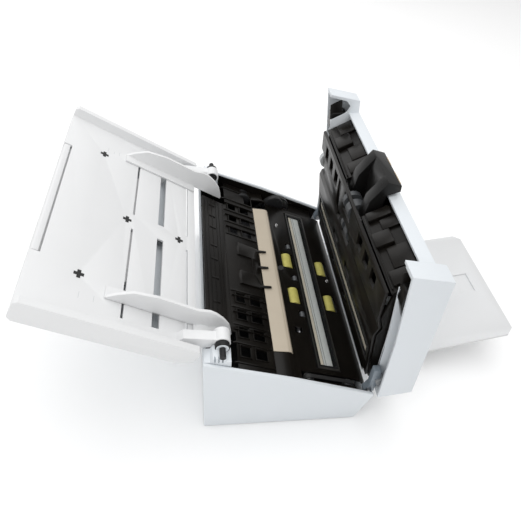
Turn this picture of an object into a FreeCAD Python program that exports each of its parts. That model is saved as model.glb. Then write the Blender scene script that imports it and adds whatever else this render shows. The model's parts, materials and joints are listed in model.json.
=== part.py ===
import FreeCAD, Part
import math
import os
import re

import Sketcher
from FreeCAD import Placement, Rotation, Vector

# Sheet fed document scanner with its paper tray set up and its cover swung open.
# Frame: +Z up, -Y the side where sheets come out, +X to the right of someone facing that side.
# Origin: on the desk, under the middle of the base. Millimetres and degrees.
# Outlines are written as (depth, height) pairs: depth runs forward from the back of the base.

sizes = {
    # whole machine
    "width": 310,                 # across the side panels
    "base_depth": 170,            # footprint, back to front
    "back_height": 127,           # side panel at the back
    "knee_depth": 90,             # where the sloping top edge changes slope
    "knee_height": 92.5,
    "front_height": 52.4,         # side panel at the front
    "front_lean": 10.4,           # how far the front leans out at front_height
    "panel_wall": 4,
    "panel_lift": 1.5,            # side panels stop short of the desk
    "floor_wall": 3,
    "foot_radius": 9,
    "foot_depth": 1.5,
    "foot_inset": 18,
    "gap": 0.4,                   # between pieces that only meet
    # paper path, lower half
    "throat_depth": 4,
    "throat_height": 119.2,
    "throat_width": 204,
    "bend_depth": 26,
    "bend_height": 106.3,
    "strip_depth": 73.5,          # the path where the guide strip starts
    "strip_height": 84.5,
    "strip_reach": 16.5,
    "strip_drop": 2.4,
    "strip_wall": 0.9,
    "strip_width": 230.8,
    "deck_start": 96,
    "deck_height": 75.4,
    "deck_end": 172,
    "deck_end_height": 46.4,
    "guide_wall": 3,
    "rib_height": 1.8,
    "rib_wall": 1.6,
    "rib_pitch": 23,
    "side_reach": 34,             # depth where the guide widens to the side panels
    # rollers
    "feed_depth": 110.5,
    "exit_depth": 157.5,
    "roller_radius": 8,
    "roller_proud": 0.8,
    "roller_width": 23.5,
    "roller_centre": 29,
    "shaft_radius": 3,
    "window_gap": 1,
    "idler_depth": 117.4,
    "idler_radius": 3.2,
    "idler_width": 7,
    "idler_centre": 56,
    "bush_radius": 4,
    "rail_inner": 128,            # middle to the rails that hold the bushes
    "bush_width": 4,
    "feed_pulley_radius": 19,
    "motor_pulley_radius": 6,
    "small_pulley_radius": 6,
    "pulley_width": 6,
    "belt_wall": 1.2,
    "motor_depth": 62,
    "motor_height": 32,
    "motor_radius": 17,
    "motor_length": 40,
    # lower image sensor
    "glass_depth": 123,
    "eye_depth": 100.4,           # paper sensor between the feed roller and the glass
    "glass_reach": 26,
    "glass_width": 254,
    "glass_rim": 2.4,
    "glass_wall": 1,
    "frame_wall": 6,
    "sensor_wall": 9,
    # cover, drawn closed
    "cover_angle": 60,            # how far the cover is swung open
    "hinge_depth": 178,
    "hinge_height": 47,
    "hinge_pin_radius": 3,
    "hinge_barrel_radius": 6.2,
    "pin_gap": 0.15,
    "cheek_width": 19,
    "cheek_back_depth": 25.6,
    "cheek_back_height": 156.5,
    "cover_back_depth": 38.9,
    "cover_front_depth": 192.4,
    "cover_front_height": 88.2,
    "cover_wall": 2.5,
    "part_gap": 0.8,              # between the base's and the cover's edges
    "path_gap": 1.6,              # between the lower and upper guides
    "pick_depth": 54,
    "separate_depth": 84,
    "pick_radius": 10.5,
    "pick_width": 24,
    "module_width": 58,
    "pinch_radius": 5,
    "button_radius": 6,
    "button_travel": 1.2,
    "button_depth": 176,
    "frame_half": 133,            # middle to the cover frame's end walls
    "frame_skin": 2.6,
    # input tray, drawn level and turned up to its slope
    "tray_angle": 30.6,
    "tray_axis_depth": 18,
    "tray_axis_height": 131.5,
    "tray_axis_lift": 16.7,       # hinge axis above the tray's surface
    "tray_inner": 17.7,           # hinge axis to the tray's near edge
    "tray_outer": 178,            # hinge axis to the tray's far edge
    "tray_width": 294.2,
    "tray_thick": 25,             # over the raised rim
    "rim_height": 10.8,
    "rim_width": 7,
    "tray_wall": 2.5,
    "extension_width": 162,
    "extension_length": 96,
    "extension_wall": 4,
    "extension_grip": 7,
    "fence_centre": 109,
    "fence_wall": 3,
    "fence_height": 22,
    "guide_travel": 78,
    "arm_inner": 124.5,
    "arm_width": 10,
    "arm_radius": 6,
    "tray_pin_radius": 3,
    "slot_far": 86,               # the tray's slots, measured in from its far edge
    "slot_wide": 118,
    "slot_near": 150,
    "screw_far": 43.5,            # the tray's screws, measured in from its far edge
    "screw_mid": 79.5,
    "screw_near": 140.2,
    "screw_side": 92.3,
    "screw_radius": 2.2,
    "slot_width": 7.5,
    "slot_inner": 10.9,
    "slot_outer": 126,
    "pinion_radius": 9,
    # output tray, drawn level and turned up to its slope
    "output_angle": 13.3,
    "output_axis_depth": 176,
    "output_axis_height": 6,
    "output_length": 206,
    "output_half_back": 94,
    "output_half_front": 86,
    "output_wall": 3.5,
    "output_travel": 140,
}

derived = {
    "half_width": "width / 2",
    "half_depth": "base_depth / 2",
    "inside": "width / 2 - panel_wall",
    "nose_depth": "base_depth + front_lean",
    "lean": "front_lean / (front_height - panel_lift)",
    "guide_slope": "(bend_height - strip_height) / (strip_depth - bend_depth)",
    "deck_slope": "(deck_height - deck_end_height) / (deck_end - deck_start)",
    "cover_slope": "(cheek_back_height - cover_front_height) / (cover_front_depth - cheek_back_depth)",
    "strip_start": "strip_depth + gap",
    "strip_top": "strip_height - 0.2",
    "strip_end": "strip_start + strip_reach",
    "strip_end_top": "strip_top - strip_drop",
    "axle_drop": "(roller_radius - roller_proud) / cos(atan(deck_slope))",
    "feed_height": "deck_height - (feed_depth - deck_start) * deck_slope - axle_drop",
    "exit_height": "deck_height - (exit_depth - deck_start) * deck_slope - axle_drop",
    "idler_height": "deck_height - (idler_depth - deck_start) * deck_slope - idler_radius + 0.4",
    "cheek_inner": "half_width - cheek_width",
    "pick_height": "bend_height - (pick_depth - bend_depth) * guide_slope + (pick_radius + 0.5) * 1.1",
    "separate_height": "strip_top - (separate_depth - strip_start) * strip_drop / strip_reach"
                       " + pick_radius + 0.6",
    "feed_pinch_height": "deck_height - (feed_depth - deck_start) * deck_slope"
                         " + (pinch_radius + roller_proud + 0.4) * 1.07",
    "exit_pinch_height": "deck_height - (exit_depth - deck_start) * deck_slope"
                         " + (pinch_radius + roller_proud + 0.4) * 1.07",
    "feed_pinch_depth": "feed_depth + (pinch_radius + roller_radius) * deck_slope",
    "exit_pinch_depth": "exit_depth + (pinch_radius + roller_radius) * deck_slope",
    "tray_surface": "tray_axis_height - tray_axis_lift",
    "tray_half": "tray_width / 2",
    "tray_top": "tray_surface + rim_height",
    "rear_top": "throat_height - 16.2",
    "rack_middle": "tray_outer - slot_wide",
    "output_top": "output_axis_height + output_wall / 2",
    "output_under": "output_axis_height - output_wall / 2",
}

doc = FreeCAD.newDocument("Scanner")
sheet = doc.addObject("Spreadsheet::Sheet", "Sizes")
for row, (name, value) in enumerate(sizes.items(), start=1):
    sheet.set(f"A{row}", name)
    sheet.set(f"B{row}", str(value))
    sheet.setAlias(f"B{row}", name)
doc.recompute()

nodes = []


def cells(expression):
    """The expression with each plain name pointed at its spreadsheet cell."""

    def swap(match):
        word = match.group(0)
        if word in derived:
            return "(" + cells(derived[word]) + ")"
        if word in sizes:
            return "Sizes." + word
        return word

    return re.sub(r"[a-z][a-z_]*", swap, str(expression))


def number(expression):
    """The value of an expression, read back through a scratch cell of the sheet."""
    sheet.set("D1", "=" + cells(expression).replace("Sizes.", ""))
    sheet.recompute()
    value = sheet.get("D1")
    sheet.clear("D1")
    return float(getattr(value, "Value", value))


# frames: a group of pieces drawn flat or closed, then turned about its own axis
frames = {
    "cover": ("hinge_depth", "hinge_height", "cover_angle"),
    "tray": ("tray_axis_depth", "tray_axis_height", "tray_angle"),
    "output": ("output_axis_depth", "output_axis_height", "-output_angle"),
}


def turn(part, frame):
    """Turns a finished piece about its frame's axis, which lies along X."""
    if frame is None:
        return part
    depth, height, angle = frames[frame]
    axis_y = f"(half_depth - {depth})"
    part.Placement = Placement(Vector(0, 0, 0), Rotation(Vector(1, 0, 0), 10))
    part.setExpression("Placement.Rotation.Angle", cells(f"({angle}) * 1 deg"))
    base_y = f"{axis_y} * (1 - cos({angle})) + {height} * sin({angle})"
    base_z = f"{height} * (1 - cos({angle})) - {axis_y} * sin({angle})"
    part.setExpression("Placement.Base.y", cells(base_y))
    part.setExpression("Placement.Base.z", cells(base_z))
    return part


def keep(part, label, frame=None):
    """Names a finished piece and puts it in its frame."""
    if frame and part.TypeId in ("Part::Box", "Part::Cylinder"):
        part = group([part])
    part.Label = label
    turn(part, frame)
    nodes.append(part)
    return part


def body():
    return doc.addObject("PartDesign::Body", "Body")


def sketch(owner, role, level, rings):
    """A sketch on an origin plane moved to a level; each ring is a list of points or a circle."""
    drawing = owner.newObject("Sketcher::SketchObject", "Sketch")
    plane = [item for item in owner.Origin.OriginFeatures if item.Role == role][0]
    drawing.AttachmentSupport = [(plane, "")]
    drawing.MapMode = "FlatFace"
    drawing.setExpression("AttachmentOffset.Base.z", cells(level))
    for ring in rings:
        if isinstance(ring, dict):
            draw_circle(drawing, ring)
        else:
            draw_ring(drawing, ring)
    return drawing


def pin_point(drawing, curve, end, across, up, place):
    """Ties one point of a curve to two expressions, measured from the sketch's origin."""
    for kind, text, start in (("DistanceX", across, place.x), ("DistanceY", up, place.y)):
        tie = drawing.addConstraint(Sketcher.Constraint(kind, -1, 1, curve, end, start))
        drawing.setExpression(f"Constraints[{tie}]", cells(text))


def draw_ring(drawing, points):
    count = len(points)
    first = drawing.GeometryCount
    spots = [
        Vector(50 * math.cos(2 * math.pi * i / count), 50 * math.sin(2 * math.pi * i / count), 0)
        for i in range(count)
    ]
    for i in range(count):
        drawing.addGeometry(Part.LineSegment(spots[i], spots[(i + 1) % count]))
    for i in range(count):
        after = first + (i + 1) % count
        drawing.addConstraint(Sketcher.Constraint("Coincident", first + i, 2, after, 1))
    for i, (across, up) in enumerate(points):
        pin_point(drawing, first + i, 1, across, up, spots[i])


def draw_circle(drawing, ring):
    curve = drawing.addGeometry(Part.Circle(Vector(1, 1, 0), Vector(0, 0, 1), 5))
    tie = drawing.addConstraint(Sketcher.Constraint("Radius", curve, 5))
    drawing.setExpression(f"Constraints[{tie}]", cells(ring["radius"]))
    pin_point(drawing, curve, 3, ring["across"], ring["up"], Vector(1, 1, 0))


def side_ring(points):
    """(depth, height) points as (Y, Z) expressions."""
    return [(f"half_depth - ({depth})", height) for depth, height in points]


def side_circle(depth, height, radius):
    return {"across": f"half_depth - ({depth})", "up": height, "radius": radius}


def plan_ring(points):
    """(x, depth) points as (X, Y) expressions."""
    return [(x, f"half_depth - ({depth})") for x, depth in points]


def box_ring(x_low, x_high, depth_low, depth_high):
    return plan_ring([(x_low, depth_low), (x_high, depth_low), (x_high, depth_high), (x_low, depth_high)])


def add(owner, rings, low, high, role="YZ_Plane"):
    """Pads rings from one level to another."""
    drawing = sketch(owner, role, low, rings)
    pad = owner.newObject("PartDesign::Pad", "Pad")
    pad.Profile = drawing
    pad.setExpression("Length", cells(f"({high}) - ({low})"))
    return pad


def cut(owner, rings, low, high, role="YZ_Plane"):
    """Pockets rings from one level to another."""
    drawing = sketch(owner, role, low, rings)
    pocket = owner.newObject("PartDesign::Pocket", "Pocket")
    pocket.Profile = drawing
    pocket.Reversed = True
    pocket.setExpression("Length", cells(f"({high}) - ({low})"))
    return pocket


def slab(label, points, low, high, frame=None):
    """One plain piece: a side outline carried from one X to another."""
    owner = body()
    add(owner, [side_ring(points)], low, high)
    return keep(owner, label, frame)


def span(side, inner, outer):
    """The low and high X of a stretch on one side of the middle."""
    if side > 0:
        return inner, outer
    return f"-({outer})", f"-({inner})"


def rod(depth, height, radius, low, high):
    """A cylinder along X."""
    part = doc.addObject("Part::Cylinder", "Rod")
    part.Placement = Placement(Vector(0, 0, 0), Rotation(Vector(0, 1, 0), 90))
    part.setExpression("Radius", cells(radius))
    part.setExpression("Height", cells(f"({high}) - ({low})"))
    part.setExpression("Placement.Base.x", cells(low))
    part.setExpression("Placement.Base.y", cells(f"half_depth - ({depth})"))
    part.setExpression("Placement.Base.z", cells(height))
    return part


def block(x_low, x_high, depth_low, depth_high, low, high):
    part = doc.addObject("Part::Box", "Block")
    part.setExpression("Length", cells(f"({x_high}) - ({x_low})"))
    part.setExpression("Width", cells(f"({depth_high}) - ({depth_low})"))
    part.setExpression("Height", cells(f"({high}) - ({low})"))
    part.setExpression("Placement.Base.x", cells(x_low))
    part.setExpression("Placement.Base.y", cells(f"half_depth - ({depth_high})"))
    part.setExpression("Placement.Base.z", cells(low))
    return part


def minus(whole, taken):
    part = doc.addObject("Part::Cut", "Cut")
    part.Base = whole
    part.Tool = taken
    return part


def fused(pieces):
    part = doc.addObject("Part::MultiFuse", "Fuse")
    part.Shapes = pieces
    return part


def group(pieces):
    """Several separate solids in one piece's file."""
    part = doc.addObject("Part::Compound", "Group")
    part.Links = pieces
    return part


def tube(depth, height, outer, inner, low, high):
    return minus(rod(depth, height, outer, low, high),
                 rod(depth, height, inner, f"({low}) - 1", f"({high}) + 1"))


# ---------------------------------------------------------------- base: case

def make_chassis():
    """The floor of the base with a round well for each foot."""
    owner = body()
    add(owner, [box_ring("-(inside - gap)", "inside - gap", "panel_wall", "base_depth - panel_wall")],
        "0", "floor_wall", "XY_Plane")
    wells = [
        {"across": f"{side} * (inside - foot_inset)", "up": f"{end} * (half_depth - foot_inset)",
         "radius": "foot_radius"}
        for side in (-1, 1) for end in (-1, 1)
    ]
    cut(owner, wells, "0", "foot_depth", "XY_Plane")
    for side in (-1, 1):
        low, high = span(side, "rail_inner", "rail_inner + bush_width")
        add(owner, [side_ring([
            ("56", "floor_wall - 0.5"),
            ("164", "floor_wall - 0.5"),
            ("164", deck_top("164", "-guide_wall - 0.8")),
            ("feed_depth - 12", deck_top("(feed_depth - 12)", "-guide_wall - 0.8")),
            ("56", "60"),
        ])], low, high)
    for depth, height in (("feed_depth", "feed_height"), ("exit_depth", "exit_height")):
        cut(owner, [side_circle(depth, height, "bush_radius")], "-inside", "inside")
    cut(owner, [side_circle("motor_depth", "motor_height", "3")], "0", "inside")
    keep(owner, "chassis_floor")
    feet = []
    for side in (-1, 1):
        for end in (-1, 1):
            foot = doc.addObject("Part::Cylinder", "Foot")
            foot.setExpression("Radius", cells("foot_radius"))
            foot.setExpression("Height", cells("foot_depth"))
            foot.setExpression("Placement.Base.x", cells(f"{side} * (inside - foot_inset)"))
            foot.setExpression("Placement.Base.y", cells(f"{end} * (half_depth - foot_inset)"))
            feet.append(foot)
    keep(group(feet), "rubber_feet")


def make_side_panel(side, label):
    low, high = span(side, "inside", "half_width")
    slab(label, [
        ("0", "panel_lift"),
        ("base_depth", "panel_lift"),
        ("nose_depth", "front_height"),
        ("knee_depth", "knee_height"),
        ("0", "back_height"),
    ], low, high)


def make_rear_panel():
    """The back wall, with windows for two sockets and a row of vents."""
    owner = body()
    add(owner, [side_ring([("0", "panel_lift"), ("0", "rear_top"), ("3", "rear_top"), ("3", "panel_lift")])],
        "-(inside - gap)", "inside - gap")
    windows = [[("-120", "20"), ("-108", "20"), ("-108", "31"), ("-120", "31")],
               [("-96", "19.5"), ("-84", "19.5"), ("-84", "31.5"), ("-96", "31.5")]]
    for i in range(9):
        left = 40 + 9 * i
        windows.append([(str(left), "30"), (str(left + 4), "30"), (str(left + 4), "62"), (str(left), "62")])
    drawing = sketch(owner, "XZ_Plane", "-(half_depth + 1)", windows)
    pocket = owner.newObject("PartDesign::Pocket", "Pocket")
    pocket.Profile = drawing
    pocket.Reversed = True
    pocket.Length = 5
    keep(owner, "rear_panel")


def make_front_panel():
    """The low front wall, open below for the output tray."""
    owner = body()
    face = [
        ("base_depth + lean * 18.5", "20"),
        ("base_depth + lean * 36.5", "38"),
        ("base_depth + lean * 36.5 - 3", "38"),
        ("base_depth + lean * 18.5 - 3", "20"),
    ]
    add(owner, [side_ring(face)], "-(inside - gap)", "inside - gap")
    for side in (-1, 1):
        low, high = span(side, "120", "inside - gap")
        add(owner, [side_ring([
            ("base_depth", "panel_lift"),
            ("base_depth + lean * 20", "21.5"),
            ("base_depth + lean * 20 - 3", "21.5"),
            ("base_depth - 3", "panel_lift"),
        ])], low, high)
    keep(owner, "front_panel")


# ---------------------------------------------------------------- base: paper path

def make_lower_guide():
    """The sloping plate that leads sheets down from the tray, with ribs and openings."""
    owner = body()
    slope = "guide_slope"
    throat = [
        ("throat_depth", "throat_height"),
        ("bend_depth", "bend_height"),
        ("strip_depth", "strip_height"),
        ("strip_depth", "strip_height - guide_wall"),
        ("bend_depth", "bend_height - guide_wall"),
        ("throat_depth + guide_wall", "throat_height - 5"),
        ("throat_depth + guide_wall", "rear_top + 2.5"),
        ("throat_depth", "rear_top + 2.5"),
    ]
    wings = [
        ("side_reach", f"bend_height - (side_reach - bend_depth) * {slope}"),
        ("strip_depth", "strip_height"),
        ("strip_depth", "strip_height - guide_wall"),
        ("side_reach", f"bend_height - guide_wall - (side_reach - bend_depth) * {slope}"),
    ]
    add(owner, [side_ring(throat)], "-throat_width / 2", "throat_width / 2")
    for side in (-1, 1):
        low, high = span(side, "throat_width / 2 - 1", "inside - gap")
        add(owner, [side_ring(wings)], low, high)
    rib = [
        ("side_reach - 4", f"bend_height - (side_reach - 3 - bend_depth) * {slope}"),
        ("side_reach", f"bend_height + rib_height - (side_reach - bend_depth) * {slope}"),
        ("strip_depth - 1", f"strip_height + rib_height + {slope}"),
        ("strip_depth - 1", f"strip_height + {slope} - 1"),
        ("side_reach - 4", f"bend_height - 1 - (side_reach - 4 - bend_depth) * {slope}"),
    ]
    for i in range(-6, 7):
        if i in (-1, 0, 1):
            continue
        add(owner, [side_ring(rib)], f"{i} * rib_pitch - rib_wall / 2", f"{i} * rib_pitch + rib_wall / 2")
    holes = []
    for i in (-5, -4, -3, -2, 2, 3, 4):
        near = f"{i} * rib_pitch + {3 if i > 0 else -15}"
        far = f"{i} * rib_pitch + {15 if i > 0 else -3}"
        holes.append(box_ring(near, far, "38", "48"))
        holes.append(box_ring(near, far, "54", "66"))
    holes.append(box_ring("118.5", "136", "62", "72"))
    cut(owner, holes, "60", "130", "XY_Plane")
    keep(owner, "lower_guide")


def make_separation_cover():
    """The raised centre piece whose three fingers reach over the guide strip."""
    owner = body()
    top = "bend_height - (46 - bend_depth) * guide_slope"
    block_outline = [
        ("44", "bend_height - (44 - bend_depth) * guide_slope + 0.1"),
        ("47", f"{top} + 2.2"),
        ("strip_depth - 2", "strip_height + 1.8"),
        ("strip_depth - 0.5", "strip_height + 0.4"),
    ]
    for side in (-1, 1):
        low, high = span(side, "pick_width / 2 + 1", "33")
        add(owner, [side_ring(block_outline)], low, high)
        if side < 0:
            add(owner, [side_ring([
                ("strip_depth - 12", "strip_height + 12 * guide_slope + 0.1"),
                ("strip_depth - 11", "strip_height + 1.6 + 11 * guide_slope"),
                ("strip_depth - 2", "strip_height + 1.6"),
                ("strip_depth - 0.5", "strip_height + 0.4"),
            ])], "-(pick_width / 2 + 2)", "pick_width / 2 + 2")
    finger = [
        ("strip_depth - 6", "strip_height + 6 * guide_slope + 0.5"),
        ("strip_depth - 4", "strip_height + 4 * guide_slope + 1.4"),
        ("strip_depth + 9", "strip_height + 0.8"),
        ("strip_depth + 9", "strip_height + 0.2"),
        ("strip_depth + 1", "strip_height + 0.5"),
    ]
    for place in ("-29", "2", "29"):
        add(owner, [side_ring(finger)], f"{place} - 1.5", f"{place} + 1.5")
    keep(owner, "separation_cover")


def make_guide_strip():
    slab("guide_strip", [
        ("strip_start", "strip_top"),
        ("strip_end", "strip_end_top"),
        ("strip_end + 3.4", "strip_end_top - 1.6"),
        ("strip_end + 5", "strip_end_top - 4.4"),
        ("strip_end + 4.2", "strip_end_top - 4.6"),
        ("strip_end + 2.8", "strip_end_top - 2.4"),
        ("strip_end - 0.1", "strip_end_top - strip_wall"),
        ("strip_start", "strip_top - strip_wall"),
    ], "-strip_width / 2", "strip_width / 2")


def deck_top(depth, lift="0"):
    return f"deck_height - ({depth} - deck_start) * deck_slope + {lift}"


def make_sensor_deck():
    """The plate under the sensor glass, with windows for every roller."""
    owner = body()
    add(owner, [side_ring([
        ("strip_start", "strip_top - strip_wall - gap"),
        ("strip_end - 0.3", "strip_end_top - strip_wall - gap"),
        ("strip_end + 2.2", "strip_end_top - 3.2"),
        ("deck_start", "deck_height"),
        ("deck_end", "deck_end_height"),
        ("deck_end + 5", "deck_end_height - 3.4"),
        ("deck_end + 5", "deck_end_height - 7.6"),
        ("deck_end + 2.6", "deck_end_height - 7.6"),
        ("deck_end + 2.6", "deck_end_height - 4.8"),
        ("deck_end", "deck_end_height - guide_wall"),
        ("deck_start - 1", "deck_height - guide_wall"),
        ("strip_end - 2", "strip_end_top - strip_wall - gap - guide_wall"),
        ("strip_start", "strip_top - strip_wall - gap - guide_wall"),
    ])], "-(inside - gap)", "inside - gap")
    half = "roller_width / 2 + window_gap"
    holes = []
    for depth in ("feed_depth", "exit_depth"):
        for side in (-1, 1):
            holes.append(box_ring(f"{side} * roller_centre - ({half})", f"{side} * roller_centre + ({half})",
                                  f"{depth} - 6.2", f"{depth} + 9.4"))
    for place in (-1, 0, 1):
        holes.append(box_ring(f"{place} * idler_centre - idler_width / 2 - 0.8",
                              f"{place} * idler_centre + idler_width / 2 + 0.8",
                              "idler_depth - 4.4", "idler_depth + 3.4"))
    holes.append(box_ring("-glass_width / 2 - gap", "glass_width / 2 + gap",
                          "glass_depth - 1.8", "glass_depth + glass_reach + gap"))
    holes.append(box_ring("-142", "-frame_half", "feed_depth - 9", "exit_depth + 9"))
    holes.append(box_ring("139", "inside - gap + 1", "feed_depth - 20.5", "feed_depth + 20.5"))
    holes.append(box_ring("118.5", "136", "strip_start - 1", "94"))
    for side in (-1, 1):
        low, high = span(side, "134", "inside - gap + 1")
        holes.append(box_ring(low, high, "165", "deck_end + 6"))
    holes.append(box_ring("-84", "-76", "104", "113"))
    cut(owner, holes, "30", "100", "XY_Plane")
    eye = {"across": "12.4", "up": "half_depth - eye_depth", "radius": "4.3"}
    cut(owner, [eye], "30", "100", "XY_Plane")
    keep(owner, "sensor_deck")


def tilted(points, depth, height):
    """Points given along and above a line that follows the deck's slope, from a start point."""
    return [
        (f"{depth} + ({along}) * cos(atan(deck_slope)) + ({above}) * sin(atan(deck_slope))",
         f"{height} - ({along}) * sin(atan(deck_slope)) + ({above}) * cos(atan(deck_slope))")
        for along, above in points
    ]


def make_sensor(prefix, upper):
    """A sensor frame, its glass, its light bar, its white reference and its reading module."""
    frame = "cover" if upper else None
    turned = "-1" if upper else "1"
    start = "glass_depth + 1.4" if upper else "glass_depth"
    level = deck_top(start, "path_gap + 0.4" if upper else "0")
    reach = "(glass_reach / cos(atan(deck_slope)))"
    half = "glass_width / 2"

    def strip_at(label, near, far, low, high, end_gap):
        points = [(near, f"{turned} * ({low})"), (far, f"{turned} * ({low})"),
                  (far, f"{turned} * ({high})"), (near, f"{turned} * ({high})")]
        outline = tilted(points, start, level)
        return slab(label, outline, f"-({half} - {end_gap})", f"{half} - {end_gap}", frame)

    owner = body()
    under = f"{turned} * (-frame_wall - sensor_wall)"
    rim = [("0", under), (reach, under),
           (reach, f"{turned} * 0.2"), ("0", f"{turned} * 0.2")]
    hollow = [("glass_rim", f"{turned} * -frame_wall"), (f"{reach} - glass_rim", f"{turned} * -frame_wall"),
              (f"{reach} - glass_rim", f"{turned} * 1.5"), ("glass_rim", f"{turned} * 1.5")]
    add(owner, [side_ring(tilted(rim, start, level))], f"-{half}", half)
    cut(owner, [side_ring(tilted(hollow, start, level))],
        f"-({half} - 2 * glass_rim)", f"{half} - 2 * glass_rim")
    keep(owner, prefix + "_sensor_housing", frame)
    edge = "(2 * glass_rim + 0.1)"
    strip_at(prefix + "_glass", "glass_rim + 0.1", f"{reach} - glass_rim - 0.1", "-glass_wall", "0", edge)
    strip_at(prefix + "_light_bar", "glass_rim + 1", "glass_rim + 6",
             "-frame_wall + 0.4", "-glass_wall - 0.4", edge)
    if not upper:
        strip_at(prefix + "_white_reference", "glass_rim + 7.5", "glass_rim + 17", "-frame_wall + 0.4",
                 "-glass_wall - 0.4", edge)


# ---------------------------------------------------------------- base: rollers and drive

def make_lower_rollers():
    """Two driven shafts with rubber rollers, their bushes, and the idlers between them."""
    bushes = []
    for stage in ("feed", "exit"):
        depth = f"{stage}_depth"
        height = f"{stage}_height"
        shaft = [rod(depth, height, "shaft_radius", "-141", "149"),
                 rod(depth, height, "small_pulley_radius", "-140.4", "-134.6")]
        if stage == "feed":
            shaft.append(rod(depth, height, "feed_pulley_radius", "141", "141 + pulley_width"))
        keep(fused(shaft), f"{stage}_shaft")
        rollers = []
        for side in (-1, 1):
            low = f"{side} * roller_centre - roller_width / 2"
            high = f"{side} * roller_centre + roller_width / 2"
            rollers.append(tube(depth, height, "roller_radius", "shaft_radius", low, high))
        keep(group(rollers), f"{stage}_rollers")
        for side in (-1, 1):
            low, high = span(side, "rail_inner", "rail_inner + bush_width")
            bushes.append(tube(depth, height, "bush_radius", "shaft_radius + pin_gap", low, high))
    keep(group(bushes), "shaft_bushes")
    idlers = []
    for place in (-1, 0, 1):
        middle = f"{place} * idler_centre"
        idlers.append(fused([
            rod("idler_depth", "idler_height", "idler_radius", f"{middle} - idler_width / 2",
                f"{middle} + idler_width / 2"),
            rod("idler_depth", "idler_height", "1", f"{middle} - idler_width / 2 - 0.6",
                f"{middle} + idler_width / 2 + 0.6"),
        ]))
    keep(group(idlers), "idler_rollers")


def make_drive():
    keep(rod("motor_depth", "motor_height", "motor_radius", "88", "88 + motor_length"), "feed_motor")
    keep(fused([
        rod("motor_depth", "motor_height", "2", "88 + motor_length", "148"),
        rod("motor_depth", "motor_height", "motor_pulley_radius", "141", "141 + pulley_width"),
    ]), "motor_pulley")


def belt_shape(first, second, x_low, x_high, wall):
    """A closed band round two pulleys; each is given as (depth, height, radius)."""
    def spot(pulley_place):
        return Vector(0, sizes["base_depth"] / 2 - pulley_place[0], pulley_place[1])

    one, two = spot(first), spot(second)
    along = two - one
    length = along.Length
    along.normalize()
    across = Vector(1, 0, 0).cross(along)

    def loop(extra):
        lean = math.asin((first[2] - second[2]) / length)
        sides = []
        for sign in (-1, 1):
            out = along * math.sin(lean) + across * (sign * math.cos(lean))
            sides.append((one + out * (first[2] + extra), two + out * (second[2] + extra)))
        back = one - along * (first[2] + extra)
        front = two + along * (second[2] + extra)
        edges = [
            Part.LineSegment(*sides[1]).toShape(),
            Part.Arc(sides[1][1], front, sides[0][1]).toShape(),
            Part.LineSegment(sides[0][1], sides[0][0]).toShape(),
            Part.Arc(sides[0][0], back, sides[1][0]).toShape(),
        ]
        face = Part.Face(Part.Wire(edges))
        face.translate(Vector(x_low, 0, 0))
        return face.extrude(Vector(x_high - x_low, 0, 0))

    return loop(wall + 0.25).cut(loop(0.25))


def make_belt(label, first, second, x_low, x_high, frame=None):
    part = doc.addObject("Part::Feature", "Belt")
    places = [(number(depth), number(height), number(radius)) for depth, height, radius in (first, second)]
    part.Shape = belt_shape(places[0], places[1], x_low, x_high, sizes["belt_wall"])
    keep(part, label, frame)


# ---------------------------------------------------------------- base: small parts

def make_base_small_parts():
    sensor = doc.addObject("Part::Cylinder", "Sensor")
    sensor.setExpression("Radius", cells("4"))
    sensor.setExpression("Height", cells("12"))
    sensor.setExpression("Placement.Base.x", cells("12.4"))
    sensor.setExpression("Placement.Base.y", cells("half_depth - eye_depth"))
    sensor.setExpression("Placement.Base.z", cells(deck_top("100.4", "-12")))
    keep(sensor, "double_feed_sensor")
    board = block("-128", "-40", "15", "16.6", "12", "64")
    usb = minus(block("-119.4", "-108.6", "0.4", "15", "20.6", "30.4"),
                block("-117.6", "-110.4", "-1", "11", "23.4", "27.6"))
    power = minus(block("-95.4", "-84.6", "0.4", "13", "20.1", "30.9"),
                  rotated_rod("-90", "25.5", "3", "-1", "9"))
    power_spacer = block("-94", "-86", "13", "15", "21", "30")
    keep(group([board, usb, fused([power, power_spacer])]), "main_board")


def rotated_rod(x, height, radius, depth_low, depth_high):
    """A cylinder along Y."""
    part = doc.addObject("Part::Cylinder", "Rod")
    part.Placement = Placement(Vector(0, 0, 0), Rotation(Vector(1, 0, 0), 90))
    part.setExpression("Radius", cells(radius))
    part.setExpression("Height", cells(f"({depth_high}) - ({depth_low})"))
    part.setExpression("Placement.Base.x", cells(x))
    part.setExpression("Placement.Base.y", cells(f"half_depth - ({depth_low})"))
    part.setExpression("Placement.Base.z", cells(height))
    return part


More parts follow.
